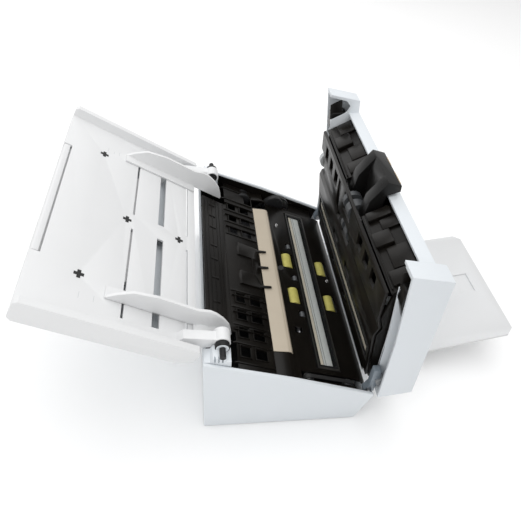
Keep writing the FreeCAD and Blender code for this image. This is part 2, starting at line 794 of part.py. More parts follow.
def make_tray_mounts():
    """The blocks and pins at the back corners that carry the input tray."""
    pins = []
    blocks = []
    for side in (-1, 1):
        low, high = span(side, "arm_inner + arm_width + 1", "inside - gap")
        owner = body()
        add(owner, [side_ring([
            ("0.4", "rear_top + gap"),
            ("0.4", "back_height - 1.6"),
            ("6.4", "back_height - 1.6"),
            ("9", "back_height + 3.4"),
            ("20.5", "back_height + 3.4"),
            ("20.5", "back_height - 2"),
            ("26", "back_height - 2"),
            ("26", "rear_top + gap"),
        ])], low, high)
        ear = ("arm_inner + arm_width + 1", "arm_inner + arm_width + 6")
        low_ear, high_ear = span(side, *ear)
        add(owner, [side_circle("tray_axis_depth", "tray_axis_height", "arm_radius")], low_ear, high_ear)
        cut(owner, [side_circle("tray_axis_depth", "tray_axis_height", "tray_pin_radius")], low, high)
        low_out, high_out = span(side, "inside - gap - 3", "inside - gap")
        for depth in ("10", "13.6", "17.2"):
            groove = [(depth, "back_height - 4"), (depth, "back_height + 5"),
                      (f"{depth} + 1.6", "back_height + 5"), (f"{depth} + 1.6", "back_height - 4")]
            cut(owner, [side_ring(groove)], low_out, high_out)
        blocks.append(owner)
        pin_low, pin_high = span(side, "arm_inner - 0.6", "inside - gap")
        cap_low, cap_high = span(side, "arm_inner - 3.6", "arm_inner - 0.6")
        pins.append(fused([
            rod("tray_axis_depth", "tray_axis_height", "tray_pin_radius", pin_low, pin_high),
            rod("tray_axis_depth", "tray_axis_height", "tray_pin_radius + 3", cap_low, cap_high),
        ]))
    keep(group(blocks), "tray_blocks")
    keep(group(pins), "tray_hinge_pins")


def make_cover_pins():
    pins = []
    for side in (-1, 1):
        low, high = span(side, "138", "inside")
        pins.append(rod("hinge_depth", "hinge_height", "hinge_pin_radius", low, high))
    keep(group(pins), "cover_hinge_pins")


# ---------------------------------------------------------------- cover, drawn closed

def cover_outer(depth):
    """Height of the cover's sloping outer face."""
    return f"(cheek_back_height - ({depth} - cheek_back_depth) * cover_slope)"


def make_cover_shell():
    """The cover's outer moulding: a sloping skin with a deep back lip between two hollow cheeks."""
    owner = body()
    add(owner, [side_ring([
        ("cover_back_depth - 4.6", "cheek_back_height - 17"),
        ("cover_back_depth", cover_outer("cover_back_depth")),
        ("cover_front_depth", "cover_front_height"),
        ("nose_depth + 2", "front_height + 2"),
        ("nose_depth - 0.6", "front_height + 2.6"),
        ("cover_front_depth - 3.3", "cover_front_height - 1.4"),
        ("cover_back_depth + 1.8", f"{cover_outer('cover_back_depth')} - 3.4"),
        ("cover_back_depth - 2", "cheek_back_height - 18"),
    ])], "-cheek_inner - 1", "cheek_inner + 1")
    for side in (-1, 1):
        low, high = span(side, "cheek_inner", "half_width")
        add(owner, [side_ring([
            ("0.9", "back_height + part_gap"),
            ("cheek_back_depth", "cheek_back_height"),
            ("cover_front_depth", "cover_front_height"),
            ("nose_depth + 1.6", "front_height + part_gap"),
            ("knee_depth", "knee_height + part_gap"),
        ])], low, high)
        low, high = span(side, "cheek_inner + cover_wall", "half_width - cover_wall")
        cut(owner, [side_ring([
            ("5.4", "back_height - 6"),
            ("5.6", "back_height + 1.2"),
            ("cheek_back_depth + 1.4", "cheek_back_height - 4.6"),
            ("cover_front_depth - 5", "cover_front_height - cover_wall + 1"),
            ("nose_depth - 1.6", "front_height + 1"),
            ("nose_depth - 3", "front_height - 4"),
            ("knee_depth", "knee_height - 4"),
        ])], low, high)
    for side in (-1, 1):
        low, high = span(side, "cheek_inner - 1", "cheek_inner + cover_wall + 1")
        cut(owner, [side_ring([
            ("-2", "back_height - 8"),
            ("5.5", "back_height + 1.2"),
            ("18", "142"),
            ("27", "144"),
            ("32", "138"),
            ("32", "back_height - 18"),
        ])], low, high)
    buttons = [{"across": x, "up": "half_depth - button_depth", "radius": "button_radius + 0.4"}
               for x in ("82", "104")]
    cut(owner, buttons, "80", "120", "XY_Plane")
    cut(owner, [box_ring("56", "68", "174", "178")], "80", "120", "XY_Plane")
    keep(owner, "cover_shell", "cover")


def upper_face(depth, lift="0"):
    """Height of the upper guide's lower face over the deck."""
    return deck_top(depth, f"path_gap + {lift}")


def make_upper_guide():
    """The plate that holds sheets down on the lower guide, with windows for rollers and glass."""
    owner = body()
    line = "bend_height - (40 - bend_depth) * guide_slope"
    add(owner, [side_ring([
        ("40", f"{line} + 3.4"),
        ("strip_depth", "strip_height + 3"),
        ("strip_end", "strip_end_top + 2.6"),
        ("deck_start + 2", upper_face("(deck_start + 2)", "0.6")),
        ("deck_end - 3", upper_face("(deck_end - 3)")),
        ("deck_end - 3", upper_face("(deck_end - 3)", "3")),
        ("deck_start + 3", upper_face("(deck_start + 3)", "3.4")),
        ("strip_end + 1", "strip_end_top + 5.4"),
        ("strip_depth + 0.6", "strip_height + 6"),
        ("40.4", f"{line} + 6.6"),
    ])], "-132", "132")
    pick_half = "(pick_width / 2 + 1.5)"
    holes = [box_ring(f"-{pick_half}", pick_half, "pick_depth - 11.6", "pick_depth + 9"),
             box_ring("-(pick_width / 2 + 1.5)", "pick_width / 2 + 1.5", "separate_depth - 11.6",
                      "separate_depth + 11"),
             box_ring("31", "41", "pick_depth - 9", "separate_depth + 10"),
             box_ring("-glass_width / 2 - gap", "glass_width / 2 + gap", "glass_depth + 0.6",
                      "glass_depth + glass_reach + 2.4"),
             box_ring("118", "134", "62", "93")]
    for depth in ("feed_pinch_depth", "exit_pinch_depth"):
        for side in (-1, 1):
            middle = f"{side} * roller_centre"
            holes.append(box_ring(f"{middle} - 11", f"{middle} + 11", f"{depth} - 5.6", f"{depth} + 5.6"))
    for x in (-108, -84, -60, 48, 72, 96):
        holes.append(box_ring(str(x), f"{x} + 14", "46", "62"))
    cut(owner, holes, "20", "140", "XY_Plane")
    keep(owner, "upper_guide", "cover")


def make_cover_frame():
    """The cover's inner frame: a backing plate, two end walls and a row of fins."""
    owner = body()
    add(owner, [side_ring([
        ("42", f"{cover_outer('42')} - 5"),
        ("166", f"{cover_outer('166')} - 5"),
        ("166", f"{cover_outer('166')} - 7.6"),
        ("42", f"{cover_outer('42')} - 7.6"),
    ])], "-frame_half", "frame_half")
    wall = [
        ("42", "112"),
        ("strip_depth", "strip_height + 6.6"),
        ("strip_end + 1", "strip_end_top + 6"),
        ("deck_start + 3", upper_face("(deck_start + 3)", "4")),
        ("deck_end", upper_face("deck_end", "3.4")),
        ("deck_end + 3", upper_face("deck_end", "6")),
        ("cover_front_depth - 9", f"{cover_outer('(cover_front_depth - 9)')} - 5"),
        ("42", f"{cover_outer('42')} - 6"),
    ]
    add(owner, [side_ring(wall)], "-frame_half", "-(frame_half - frame_skin)")
    add(owner, [side_ring(wall)], "frame_half - frame_skin", "frame_half")
    add(owner, [side_circle("77", "95", "3")], "120.8", "131")
    fin = [
        ("44", f"{cover_outer('44')} - 20"),
        ("68", "112"),
        ("104", "100"),
        ("deck_end + 2", "72"),
        ("cover_front_depth - 8", f"{cover_outer('(cover_front_depth - 8)')} - 5.5"),
        ("44", f"{cover_outer('44')} - 6"),
    ]
    back = [
        ("42", "108"),
        ("44.6", "108"),
        ("44.6", f"{cover_outer('44.6')} - 5.4"),
        ("42", f"{cover_outer('42')} - 5.4"),
    ]
    add(owner, [side_ring(back)], "-frame_half", "-32")
    add(owner, [side_ring(back)], "32", "frame_half")
    for x in (-102, -88, -64, -44, 42, 66, 90, 112):
        add(owner, [side_ring(fin)], f"{x}", f"{x} + 2.2")
    keep(owner, "cover_frame", "cover")


def make_pick_module():
    """The housing over the pick and feed-in rollers, which reaches out past the cover's back edge."""
    owner = body()
    cheek = [
        ("17", "144"),
        ("27", "154.2"),
        ("33.4", "151.4"),
        ("31.6", "138"),
        ("40", "132"),
        ("72", "116"),
        ("96", "103"),
        ("96", "92.5"),
        ("78", "93.5"),
        ("66", "98.6"),
        ("48", "108"),
        ("30", "121"),
    ]
    for side in (-1, 1):
        low, high = span(side, "pick_width / 2 + 3", "module_width / 2")
        add(owner, [side_ring(cheek)], low, high)
        if side < 0:
            add(owner, [side_ring([
                ("17", "144"),
                ("27", "154.2"),
                ("33.4", "151.4"),
                ("31.6", "138"),
                ("40", "132"),
                ("72", "116"),
                ("96", "108"),
                ("95", "105.6"),
                ("70", "113"),
                ("38", "129"),
                ("24", "137"),
            ])], "-module_width / 2 + 1", "module_width / 2 - 1")
    bores = [side_circle("pick_depth", "pick_height", "3 + pin_gap"),
             side_circle("separate_depth", "separate_height", "3 + pin_gap")]
    cut(owner, bores, "-40", "40")
    keep(owner, "pick_module", "cover")


def make_pick_rollers():
    for name, depth, height in (("pick", "pick_depth", "pick_height"),
                                ("feed_in", "separate_depth", "separate_height")):
        keep(fused([
            rod(depth, height, "3", "-module_width / 2 + 1", "40"),
            rod(depth, height, "6", "33", "38.5"),
        ]), f"{name}_shaft", "cover")
        halves = [("-pick_width / 2", "-1.5"), ("5.5", "pick_width / 2")]
        tyres = [tube(depth, height, "pick_radius", "3", low, high) for low, high in halves]
        keep(group(tyres), f"{name}_roller", "cover")
    make_belt("pick_belt", ("pick_depth", "pick_height", "6"), ("separate_depth", "separate_height", "6"),
              33.4, 38.1, "cover")


def make_pinch_rollers():
    springs = []
    for stage in ("feed", "exit"):
        depth = f"{stage}_pinch_depth"
        height = f"{stage}_pinch_height"
        rollers = [rod(depth, height, "pinch_radius",
                       f"{side} * roller_centre - 9", f"{side} * roller_centre + 9")
                   for side in (-1, 1)]
        keep(fused(rollers + [rod(depth, height, "1.5", "-46", "46")]), f"{stage}_pinch_rollers", "cover")
        for side in (-1, 1):
            low, high = span(side, "42", "45")
            springs.append(block(low, high, f"{depth} - 5", f"{depth} + 5",
                                 f"{height} + 1.7", f"{height} + 2.3"))
    keep(group(springs), "pinch_springs", "cover")


def make_film_flaps():
    """Three thin curved films that guide the sheet's edge past the feed-in roller."""
    flaps = []
    for x in ("-64", "46", "80"):
        pipe = minus(rod("104", "95", "14", x, f"{x} + 16"),
                     rod("104", "95", "13.4", f"{x} - 1", f"{x} + 17"))
        keep_part = block(f"{x} - 1", f"{x} + 17", "90", "104", "80", "93")
        piece = doc.addObject("Part::Common", "Common")
        piece.Base = pipe
        piece.Tool = keep_part
        flaps.append(piece)
    keep(group(flaps), "film_guides", "cover")


def make_latch():
    """The cover's latch shaft with its small lever."""
    lever = body()
    add(lever, [side_ring([
        ("68", "101"),
        ("71", "96"),
        ("78", "102"),
        ("96", "108.6"),
        ("103", "108.6"),
        ("103", "114"),
        ("94", "114.6"),
        ("76", "110"),
    ])], "-120", "-114")
    keep(fused([lever, rod("100", "111.4", "2.6", "-130", "-104")]), "latch_lever", "cover")


def make_cover_hinges():
    arms = []
    for side in (-1, 1):
        low, high = span(side, "138.9", "146")
        owner = body()
        add(owner, [side_ring([
            ("141.4", "63.4"),
            ("145.7", "70"),
            ("166.5", "62"),
            ("hinge_depth + 2.4", "hinge_height + 4.4"),
            ("hinge_depth - 4", "hinge_height - 4.6"),
            ("166.7", "51"),
        ])], low, high)
        add(owner, [side_circle("hinge_depth", "hinge_height", "hinge_barrel_radius")], low, high)
        cut(owner, [side_circle("hinge_depth", "hinge_height", "hinge_pin_radius + pin_gap")], low, high)
        arms.append(owner)
    keep(group(arms), "cover_hinges", "cover")


def make_cover_wheel():
    keep(tube("77", "95", "11", "3 + pin_gap", "121.5", "128.5"), "cover_drive_wheel", "cover")


def make_controls():
    """Two push buttons and an indicator lens."""
    for label, x in (("start_button", "82"), ("power_button", "104")):
        owner = body()
        add(owner, [{"across": x, "up": "half_depth - button_depth", "radius": "button_radius"}],
            "90.4", "96.4", "XY_Plane")
        keep(owner, label, "cover")
    keep(block("56.4", "67.6", "174.3", "177.7", "91", "95.2"), "indicator_lens", "cover")


# ---------------------------------------------------------------- input tray, drawn level

def tray_ring(points):
    """(reach, lift) points, measured outwards from the tray's axis and up from its surface."""
    return [(f"half_depth - tray_axis_depth + ({reach})", f"tray_surface + ({lift})")
            for reach, lift in points]


def tray_plan(x_low, x_high, reach_low, reach_high):
    low = f"half_depth - tray_axis_depth + ({reach_low})"
    high = f"half_depth - tray_axis_depth + ({reach_high})"
    return [(x_low, low), (x_high, low), (x_high, high), (x_low, high)]


screw_places = [
    ("screw_side", "tray_outer - screw_far"),
    ("-screw_side", "tray_outer - screw_far"),
    ("0", "tray_outer - screw_mid"),
    ("0", "tray_outer - screw_near"),
]


def screw_circle(x, reach, radius):
    return {"across": x, "up": f"half_depth - tray_axis_depth + {reach}", "radius": radius}


def make_tray():
    """The tray: a floor, a raised rim on three sides, and a hollow underside."""
    owner = body()
    add(owner, [tray_plan("-tray_half", "tray_half", "tray_inner", "tray_outer")],
        "tray_surface - tray_wall", "tray_surface", "XY_Plane")
    bottom = "rim_height - tray_thick"
    for side in (-1, 1):
        low, high = span(side, "tray_half - rim_width", "tray_half")
        add(owner, [tray_ring([
            ("tray_inner", "rim_height - 3"),
            ("tray_inner + 3", "rim_height"),
            ("tray_outer - 3", "rim_height"),
            ("tray_outer", "rim_height - 3"),
            ("tray_outer", f"{bottom} + 4"),
            ("tray_outer - 4", bottom),
            ("tray_inner + 12", bottom),
            ("tray_inner", "-6"),
        ])], low, high)
        low, high = span(side, "arm_inner", "arm_inner + arm_width")
        add(owner, [tray_ring([
            ("tray_inner + 22", "-1"),
            ("tray_inner + 18", "8"),
            ("arm_radius * 0.8", "tray_axis_lift + arm_radius * 0.6"),
            ("-arm_radius * 0.8", "tray_axis_lift - arm_radius * 0.6"),
            ("tray_inner", "-1"),
        ])], low, high)
        add(owner, [{"across": "half_depth - tray_axis_depth", "up": "tray_axis_height",
                     "radius": "arm_radius"}], low, high)
    cut(owner, [{"across": "half_depth - tray_axis_depth", "up": "tray_axis_height",
                 "radius": "tray_pin_radius + pin_gap"}], "-arm_inner - arm_width", "arm_inner + arm_width")
    add(owner, [tray_plan("-(tray_half - 1)", "tray_half - 1", "tray_outer - 2.4", "tray_outer")],
        f"tray_surface + {bottom} + 4", "tray_surface - 1", "XY_Plane")
    add(owner, [tray_plan("-(tray_half - 1)", "tray_half - 1", "tray_outer - 6.4", "tray_outer - 4")],
        f"tray_surface + {bottom}", f"tray_surface + {bottom} + 2", "XY_Plane")
    cut(owner, [tray_plan("-extension_width / 2 - 1", "extension_width / 2 + 1",
                          "tray_outer - extension_grip - 1.6",
                          "tray_outer + 1")],
        "tray_surface - tray_wall - gap - 1.6 - extension_wall", "tray_surface + 1", "XY_Plane")
    slots = []
    for place, half in (("slot_far", "1.2"), ("slot_wide", "slot_width / 2"), ("slot_near", "1.2")):
        reach = f"tray_outer - {place}"
        for side in (-1, 1):
            low, high = span(side, "slot_inner", "slot_outer")
            slots.append(tray_plan(low, high, f"{reach} - {half}", f"{reach} + {half}"))
    cut(owner, slots, "tray_surface - 10", "tray_surface + 1", "XY_Plane")
    cut(owner, [screw_circle(*place, "screw_radius + 0.1") for place in screw_places],
        "tray_surface - 10", "tray_surface + 1", "XY_Plane")
    keep(owner, "tray_top", "tray")
    shell = body()
    add(shell, [tray_plan("-(tray_half - rim_width - gap)", "tray_half - rim_width - gap",
                          "tray_inner + 14", "tray_outer - 7")],
        f"tray_surface + {bottom}", f"tray_surface + {bottom} + 2", "XY_Plane")
    for side in (-1, 1):
        low, high = span(side, "tray_half - rim_width - gap - 2.4", "tray_half - rim_width - gap")
        add(shell, [tray_ring([
            ("tray_inner + 14", f"{bottom} + 1"),
            ("tray_inner + 14", "-tray_wall - gap"),
            ("tray_outer - 7", "-tray_wall - gap"),
            ("tray_outer - 7", f"{bottom} + 1"),
        ])], low, high)
    for place in screw_places:
        add(shell, [screw_circle(*place, "4")], f"tray_surface + {bottom} + 1",
            "tray_surface - tray_wall - gap", "XY_Plane")
    keep(shell, "tray_underside", "tray")
    heads = []
    for x, reach in screw_places:
        head = doc.addObject("Part::Cylinder", "Screw")
        head.setExpression("Radius", cells("screw_radius"))
        head.setExpression("Height", cells("tray_wall + 0.2"))
        head.setExpression("Placement.Base.x", cells(x))
        head.setExpression("Placement.Base.y", cells(f"half_depth - tray_axis_depth + {reach}"))
        head.setExpression("Placement.Base.z", cells("tray_surface - tray_wall - 0.1"))
        heads.append(head)
    keep(group(heads), "tray_screws", "tray")


def make_extension():
    """The pull-out extension under the tray's floor, with a grip at its outer edge."""
    owner = body()
    low = "tray_surface - tray_wall - gap - 1.2 - extension_wall"
    high = "tray_surface - tray_wall - gap - 1.2"
    add(owner, [tray_plan("-extension_width / 2", "extension_width / 2",
                          "tray_outer - extension_length", "tray_outer - 0.6")], low, high, "XY_Plane")
    grip = [
        ("tray_outer - extension_grip", "-tray_wall - 1.2 - gap - extension_wall"),
        ("tray_outer - extension_grip", "-0.3"),
        ("tray_outer - 1.6", "-0.3"),
        ("tray_outer - 0.4", "-1.5"),
        ("tray_outer - 0.4", "-tray_wall - 1.2 - gap - extension_wall"),
    ]
    add(owner, [tray_ring(grip)], "-extension_width / 2", "extension_width / 2")
    inner = "tray_outer - extension_length - 1"
    cut(owner, [tray_plan("-5.2", "5.2", inner, "tray_outer - screw_mid + 5.2")], low, high, "XY_Plane")
    keep(owner, "tray_extension", "tray")


def make_guide(side, label):
    """A paper guide: its foot on the tray, its upright fence, and the wing that runs into the throat."""
    owner = body()
    low, high = span(side, "fence_centre - fence_wall / 2", "fence_centre + fence_wall / 2")
    lift = "0.9"
    add(owner, [tray_ring([
        ("tray_inner - 37.5", "1.4"),
        ("tray_inner - 37.8", "4"),
        ("tray_inner - 34", "9"),
        ("tray_inner - 27.6", "16"),
        ("tray_inner - 18", "21.5"),
        ("tray_inner - 9", "24.6"),
        ("tray_inner - 1", "25.4"),
        ("tray_inner + 10", "fence_height"),
        ("tray_inner + 50", "fence_height"),
        ("tray_inner + 72", "fence_height - 4"),
        ("tray_inner + 84", "fence_height - 13"),
        ("tray_inner + 92", lift),
        ("tray_inner", lift),
    ])], low, high)
    low, high = span(side, "fence_centre - 12", "fence_centre + 1.4")
    add(owner, [tray_plan(low, high, "tray_inner + 1", "tray_inner + 92")],
        "tray_surface + 0.5", "tray_surface + 2.4", "XY_Plane")
    low, high = span(side, "fence_centre", "arm_inner - 4.4")
    add(owner, [tray_ring([
        ("tray_inner - 33", "1.4"),
        ("tray_inner - 33", "3.4"),
        ("tray_inner - 17", "7"),
        ("tray_inner - 3", "5"),
        ("tray_inner + 4", "1.4"),
    ])], low, high)
    middle = f"rack_middle + {side} * (pinion_radius + 2.6)"
    post_low, post_high = span(side, "fence_centre - 10", "fence_centre - 4")
    add(owner, [tray_plan(post_low, post_high, "rack_middle - 2.4", "rack_middle + 2.4")],
        "tray_surface - tray_wall - 6", "tray_surface + 1", "XY_Plane")
    if side > 0:
        near, far = "rack_middle - 2.4", f"{middle} + 2"
    else:
        near, far = f"{middle} - 2", "rack_middle + 2.4"
    add(owner, [tray_plan(post_low, post_high, near, far)],
        "tray_surface - tray_wall - 6", "tray_surface - tray_wall - 3", "XY_Plane")
    rack_low, rack_high = span(side, "12", "fence_centre - 5")
    add(owner, [tray_plan(rack_low, rack_high, f"{middle} - 2", f"{middle} + 2")],
        "tray_surface - tray_wall - 6", "tray_surface - tray_wall - 3", "XY_Plane")
    keep(owner, label, "tray")


def make_pinion():
    """The pinion under the tray that keeps the two guides centred."""
    pinion = doc.addObject("Part::Cylinder", "Pinion")
    pinion.setExpression("Radius", cells("pinion_radius"))
    pinion.setExpression("Height", cells("3"))
    pinion.setExpression("Placement.Base.y", cells("half_depth - tray_axis_depth + rack_middle"))
    pinion.setExpression("Placement.Base.z", cells("tray_surface - tray_wall - 6"))
    keep(pinion, "guide_pinion", "tray")


# ---------------------------------------------------------------- output tray, drawn level

def make_output_tray():
    """The sheet-catching plate, narrower at its far end, with a finger recess and a stiffened edge."""
    owner = body()
    front = "output_axis_depth + output_length"
    back = "output_axis_depth + 4"
    add(owner, [plan_ring([
        ("-output_half_back", back),
        ("output_half_back", back),
        ("output_half_front", f"{front} - 8"),
        ("output_half_front - 8", front),
        ("-(output_half_front - 8)", front),
        ("-output_half_front", f"{front} - 8"),
    ])], "output_under", "output_top", "XY_Plane")
    for side in (-1, 1):
        low, high = span(side, "60", "72")
        add(owner, [side_ring([
            ("output_axis_depth - 5", "output_under"),
            (f"{back} + 2", "output_under"),
            (f"{back} + 2", "output_top"),
            ("output_axis_depth - 5", "output_top"),
        ])], low, high)
        cut(owner, [side_circle("output_axis_depth", "output_axis_height", "1.2")], low, high)
    cut(owner, [box_ring("-15", "15", f"{front} - 36", f"{front} - 18")],
        "output_top - 1.6", "output_top + 1", "XY_Plane")
    keep(owner, "output_tray", "output")


def make_output_runner():
    """The cross bar that slides in the floor's tracks and carries the output tray."""
    owner = body()
    add(owner, [box_ring("-110", "110", "output_axis_depth - 14", "output_axis_depth - 8")],
        "floor_wall + 0.5", "floor_wall + 5", "XY_Plane")
    for place in ("-58", "52"):
        add(owner, [side_ring([
            ("output_axis_depth - 9", "floor_wall + 0.5"),
            ("output_axis_depth - 9", "floor_wall + 4.5"),
            ("output_axis_depth + 2.5", "floor_wall + 5"),
            ("output_axis_depth + 2.5", "floor_wall + 1"),
        ])], place, f"{place} + 6")
    keep(owner, "output_runner")
    return owner


make_chassis()
make_side_panel(-1, "left_side_panel")
make_side_panel(1, "right_side_panel")
make_rear_panel()
make_front_panel()
make_lower_guide()
make_separation_cover()
make_guide_strip()
make_sensor_deck()
make_sensor("lower", False)
make_lower_rollers()
make_drive()
make_belt("feed_belt", ("motor_depth", "motor_height", "motor_pulley_radius"),
          ("feed_depth", "feed_height", "feed_pulley_radius"), 141.4, 146.6)
make_belt("timing_belt", ("feed_depth", "feed_height", "small_pulley_radius"),
          ("exit_depth", "exit_height", "small_pulley_radius"), -139.6, -135.4)
make_base_small_parts()
make_tray_mounts()
make_cover_pins()
make_cover_shell()
make_upper_guide()
make_cover_frame()
make_sensor("upper", True)
make_pick_module()
make_pick_rollers()
make_pinch_rollers()
make_film_flaps()
make_latch()
make_cover_hinges()
make_cover_wheel()
make_controls()
make_tray()
make_extension()
make_guide(-1, "left_paper_guide")
make_guide(1, "right_paper_guide")
make_pinion()
make_output_tray()
make_output_runner()

doc.recompute()

failed = [item.Label for item in doc.Objects if "Invalid" in item.State or "Error" in item.State]
for part in nodes:
    if part.Shape.isNull() or not part.Shape.isValid() or not part.Shape.Solids:
        failed.append(part.Label)
if failed:
    raise RuntimeError("not built: " + ", ".join(failed))

os.makedirs("parts", exist_ok=True)
for part in nodes:
    part.Shape.exportStep(f"parts/{part.Label}.step")
print(len(nodes), "nodes")
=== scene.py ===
import json
import math

import bpy
from mathutils import Matrix, Vector


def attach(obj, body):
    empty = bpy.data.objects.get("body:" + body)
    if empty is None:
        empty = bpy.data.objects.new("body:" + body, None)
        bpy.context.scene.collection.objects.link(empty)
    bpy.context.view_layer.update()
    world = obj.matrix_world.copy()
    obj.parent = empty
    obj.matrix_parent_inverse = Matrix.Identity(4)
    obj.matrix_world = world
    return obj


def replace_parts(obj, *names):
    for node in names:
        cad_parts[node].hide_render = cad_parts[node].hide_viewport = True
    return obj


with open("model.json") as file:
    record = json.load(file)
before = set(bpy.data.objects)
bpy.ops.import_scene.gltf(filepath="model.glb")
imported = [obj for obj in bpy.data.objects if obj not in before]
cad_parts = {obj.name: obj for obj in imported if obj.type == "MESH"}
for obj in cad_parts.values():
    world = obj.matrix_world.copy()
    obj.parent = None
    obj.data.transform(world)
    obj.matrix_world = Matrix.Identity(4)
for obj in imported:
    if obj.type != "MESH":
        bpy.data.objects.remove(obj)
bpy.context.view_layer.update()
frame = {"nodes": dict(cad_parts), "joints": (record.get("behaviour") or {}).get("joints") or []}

nodes = frame["nodes"]
joints = {joint["name"]: joint for joint in frame["joints"]}
print("frame loaded with", len(nodes), "nodes")

half = 0.085            # middle of the base to its back edge
mm = 0.001
smoothAngle = math.radians(35)
bumpDepth = 0.0003


studio = {                # a bright white table top under soft lamps
    "camera": (-0.3718, 0.0875, 0.4913),
    "right": (-0.0926, -0.9934, 0.0675),
    "down": (-0.7290, 0.0215, -0.6842),
    "forward": (0.6783, -0.1126, -0.7261),
    "lens": 31.64,
    "shift": (0.020, 0.0084),
    "floorWide": 6.0,
    "floorColour": (0.98, 0.98, 0.98, 1),
    "worldColour": (1, 1, 1, 1),
    "worldStrength": 0.68,
    "sensor": 36,
    "clipStart": 0.01,
    "floorDrop": 0.0002,
    "floorRough": 0.9,
    "aim": (0, 0, 0.1),
    "lamps": (            # name, place, size, power
        ("keyPanel", (-1.0, 0.9, 1.6), 1.4, 9),
        ("topPanel", (0.2, -0.3, 1.9), 1.8, 14),
        ("farPanel", (1.3, 0.4, 0.9), 1.0, 4),
    ),
}


def makeStudio():
    scene = bpy.context.scene
    scene.view_settings.view_transform = "Standard"
    scene.view_settings.look = "None"
    eye = bpy.data.objects.new("deskCamera", bpy.data.cameras.new("deskCamera"))
    scene.collection.objects.link(eye)
    up = [-v for v in studio["down"]]
    back = [-v for v in studio["forward"]]
    axes = Matrix((studio["right"], up, back)).transposed()
    eye.matrix_world = Matrix.Translation(studio["camera"]) @ axes.to_4x4()
    eye.data.sensor_width = studio["sensor"]
    eye.data.lens = studio["lens"]
    eye.data.shift_x, eye.data.shift_y = studio["shift"]
    eye.data.clip_start = studio["clipStart"]
    scene.camera = eye
    world = bpy.data.worlds.new("softWhite")
    scene.world = world
    world.use_nodes = True
    sky = world.node_tree.nodes["Background"]
    sky.inputs["Color"].default_value = studio["worldColour"]
    sky.inputs["Strength"].default_value = studio["worldStrength"]
    for name, spot, size, power in studio["lamps"]:
        lamp = bpy.data.objects.new(name, bpy.data.lights.new(name, "AREA"))
        lamp.data.size = size
        lamp.data.energy = power
        lamp.location = spot
        aim = Vector(studio["aim"]) - Vector(spot)
        lamp.rotation_euler = aim.to_track_quat("-Z", "Y").to_euler()
        scene.collection.objects.link(lamp)
    bpy.ops.mesh.primitive_plane_add(size=studio["floorWide"], location=(0, 0, -studio["floorDrop"]))
    floor = bpy.context.active_object
    floor.name = "paleFloor"
    paint = bpy.data.materials.new("paleFloor")
    paint.use_nodes = True
    shader = paint.node_tree.nodes["Principled BSDF"]
    shader.inputs["Base Color"].default_value = studio["floorColour"]
    shader.inputs["Roughness"].default_value = studio["floorRough"]
    floor.data.materials.append(paint)
    print("studio ready")


# tint is how far the colour drifts, patch and grain are the scales of the drift and of the bump; the lighter
# drift colour, when given, is a lighter tone, and on the black interior it is a painted brown sheen
def finish(name, colour, tint=0.04, patch=60, grain=1400, bump=0.05, rough=(0.4, 0.5), metal=0, alpha=1,
           coat=0, stretch=(1, 1, 1), wearAndSheen=None, gloss=0.5):
    paint = bpy.data.materials.new(name)
    paint.use_nodes = True
    tree = paint.node_tree
    shader = tree.nodes["Principled BSDF"]
    where = tree.nodes.new("ShaderNodeTexCoord")
    turned = tree.nodes.new("ShaderNodeMapping")
    turned.inputs["Scale"].default_value = stretch
    tree.links.new(where.outputs["Object"], turned.inputs["Vector"])
    cloud = tree.nodes.new("ShaderNodeTexNoise")
    cloud.inputs["Scale"].default_value = patch
    cloud.inputs["Detail"].default_value = 4
    tree.links.new(turned.outputs["Vector"], cloud.inputs["Vector"])
    blend = tree.nodes.new("ShaderNodeMix")
    blend.data_type = "RGBA"
    darker = [max(0, c * (1 - tint * 2)) for c in colour]
    lighter = list(wearAndSheen) if wearAndSheen else [min(1, c * (1 + tint)) for c in colour]
    blend.inputs[6].default_value = darker + [1]
    blend.inputs[7].default_value = lighter + [1]
    tree.links.new(cloud.outputs["Fac"], blend.inputs["Factor"])
    tree.links.new(blend.outputs[2], shader.inputs["Base Color"])
    fine = tree.nodes.new("ShaderNodeTexNoise")
    fine.inputs["Scale"].default_value = grain
    fine.inputs["Detail"].default_value = 3
    tree.links.new(turned.outputs["Vector"], fine.inputs["Vector"])
    ramp = tree.nodes.new("ShaderNodeMapRange")
    ramp.inputs["To Min"].default_value = rough[0]
    ramp.inputs["To Max"].default_value = rough[1]
    tree.links.new(cloud.outputs["Fac"], ramp.inputs["Value"])
    tree.links.new(ramp.outputs["Result"], shader.inputs["Roughness"])
    relief = tree.nodes.new("ShaderNodeBump")
    relief.inputs["Strength"].default_value = bump
    relief.inputs["Distance"].default_value = bumpDepth
    tree.links.new(fine.outputs["Fac"], relief.inputs["Height"])
    tree.links.new(relief.outputs["Normal"], shader.inputs["Normal"])
    shader.inputs["Metallic"].default_value = metal
    shader.inputs["Coat Weight"].default_value = coat
    shader.inputs["Specular IOR Level"].default_value = gloss
    shader.inputs["Alpha"].default_value = alpha
    return paint


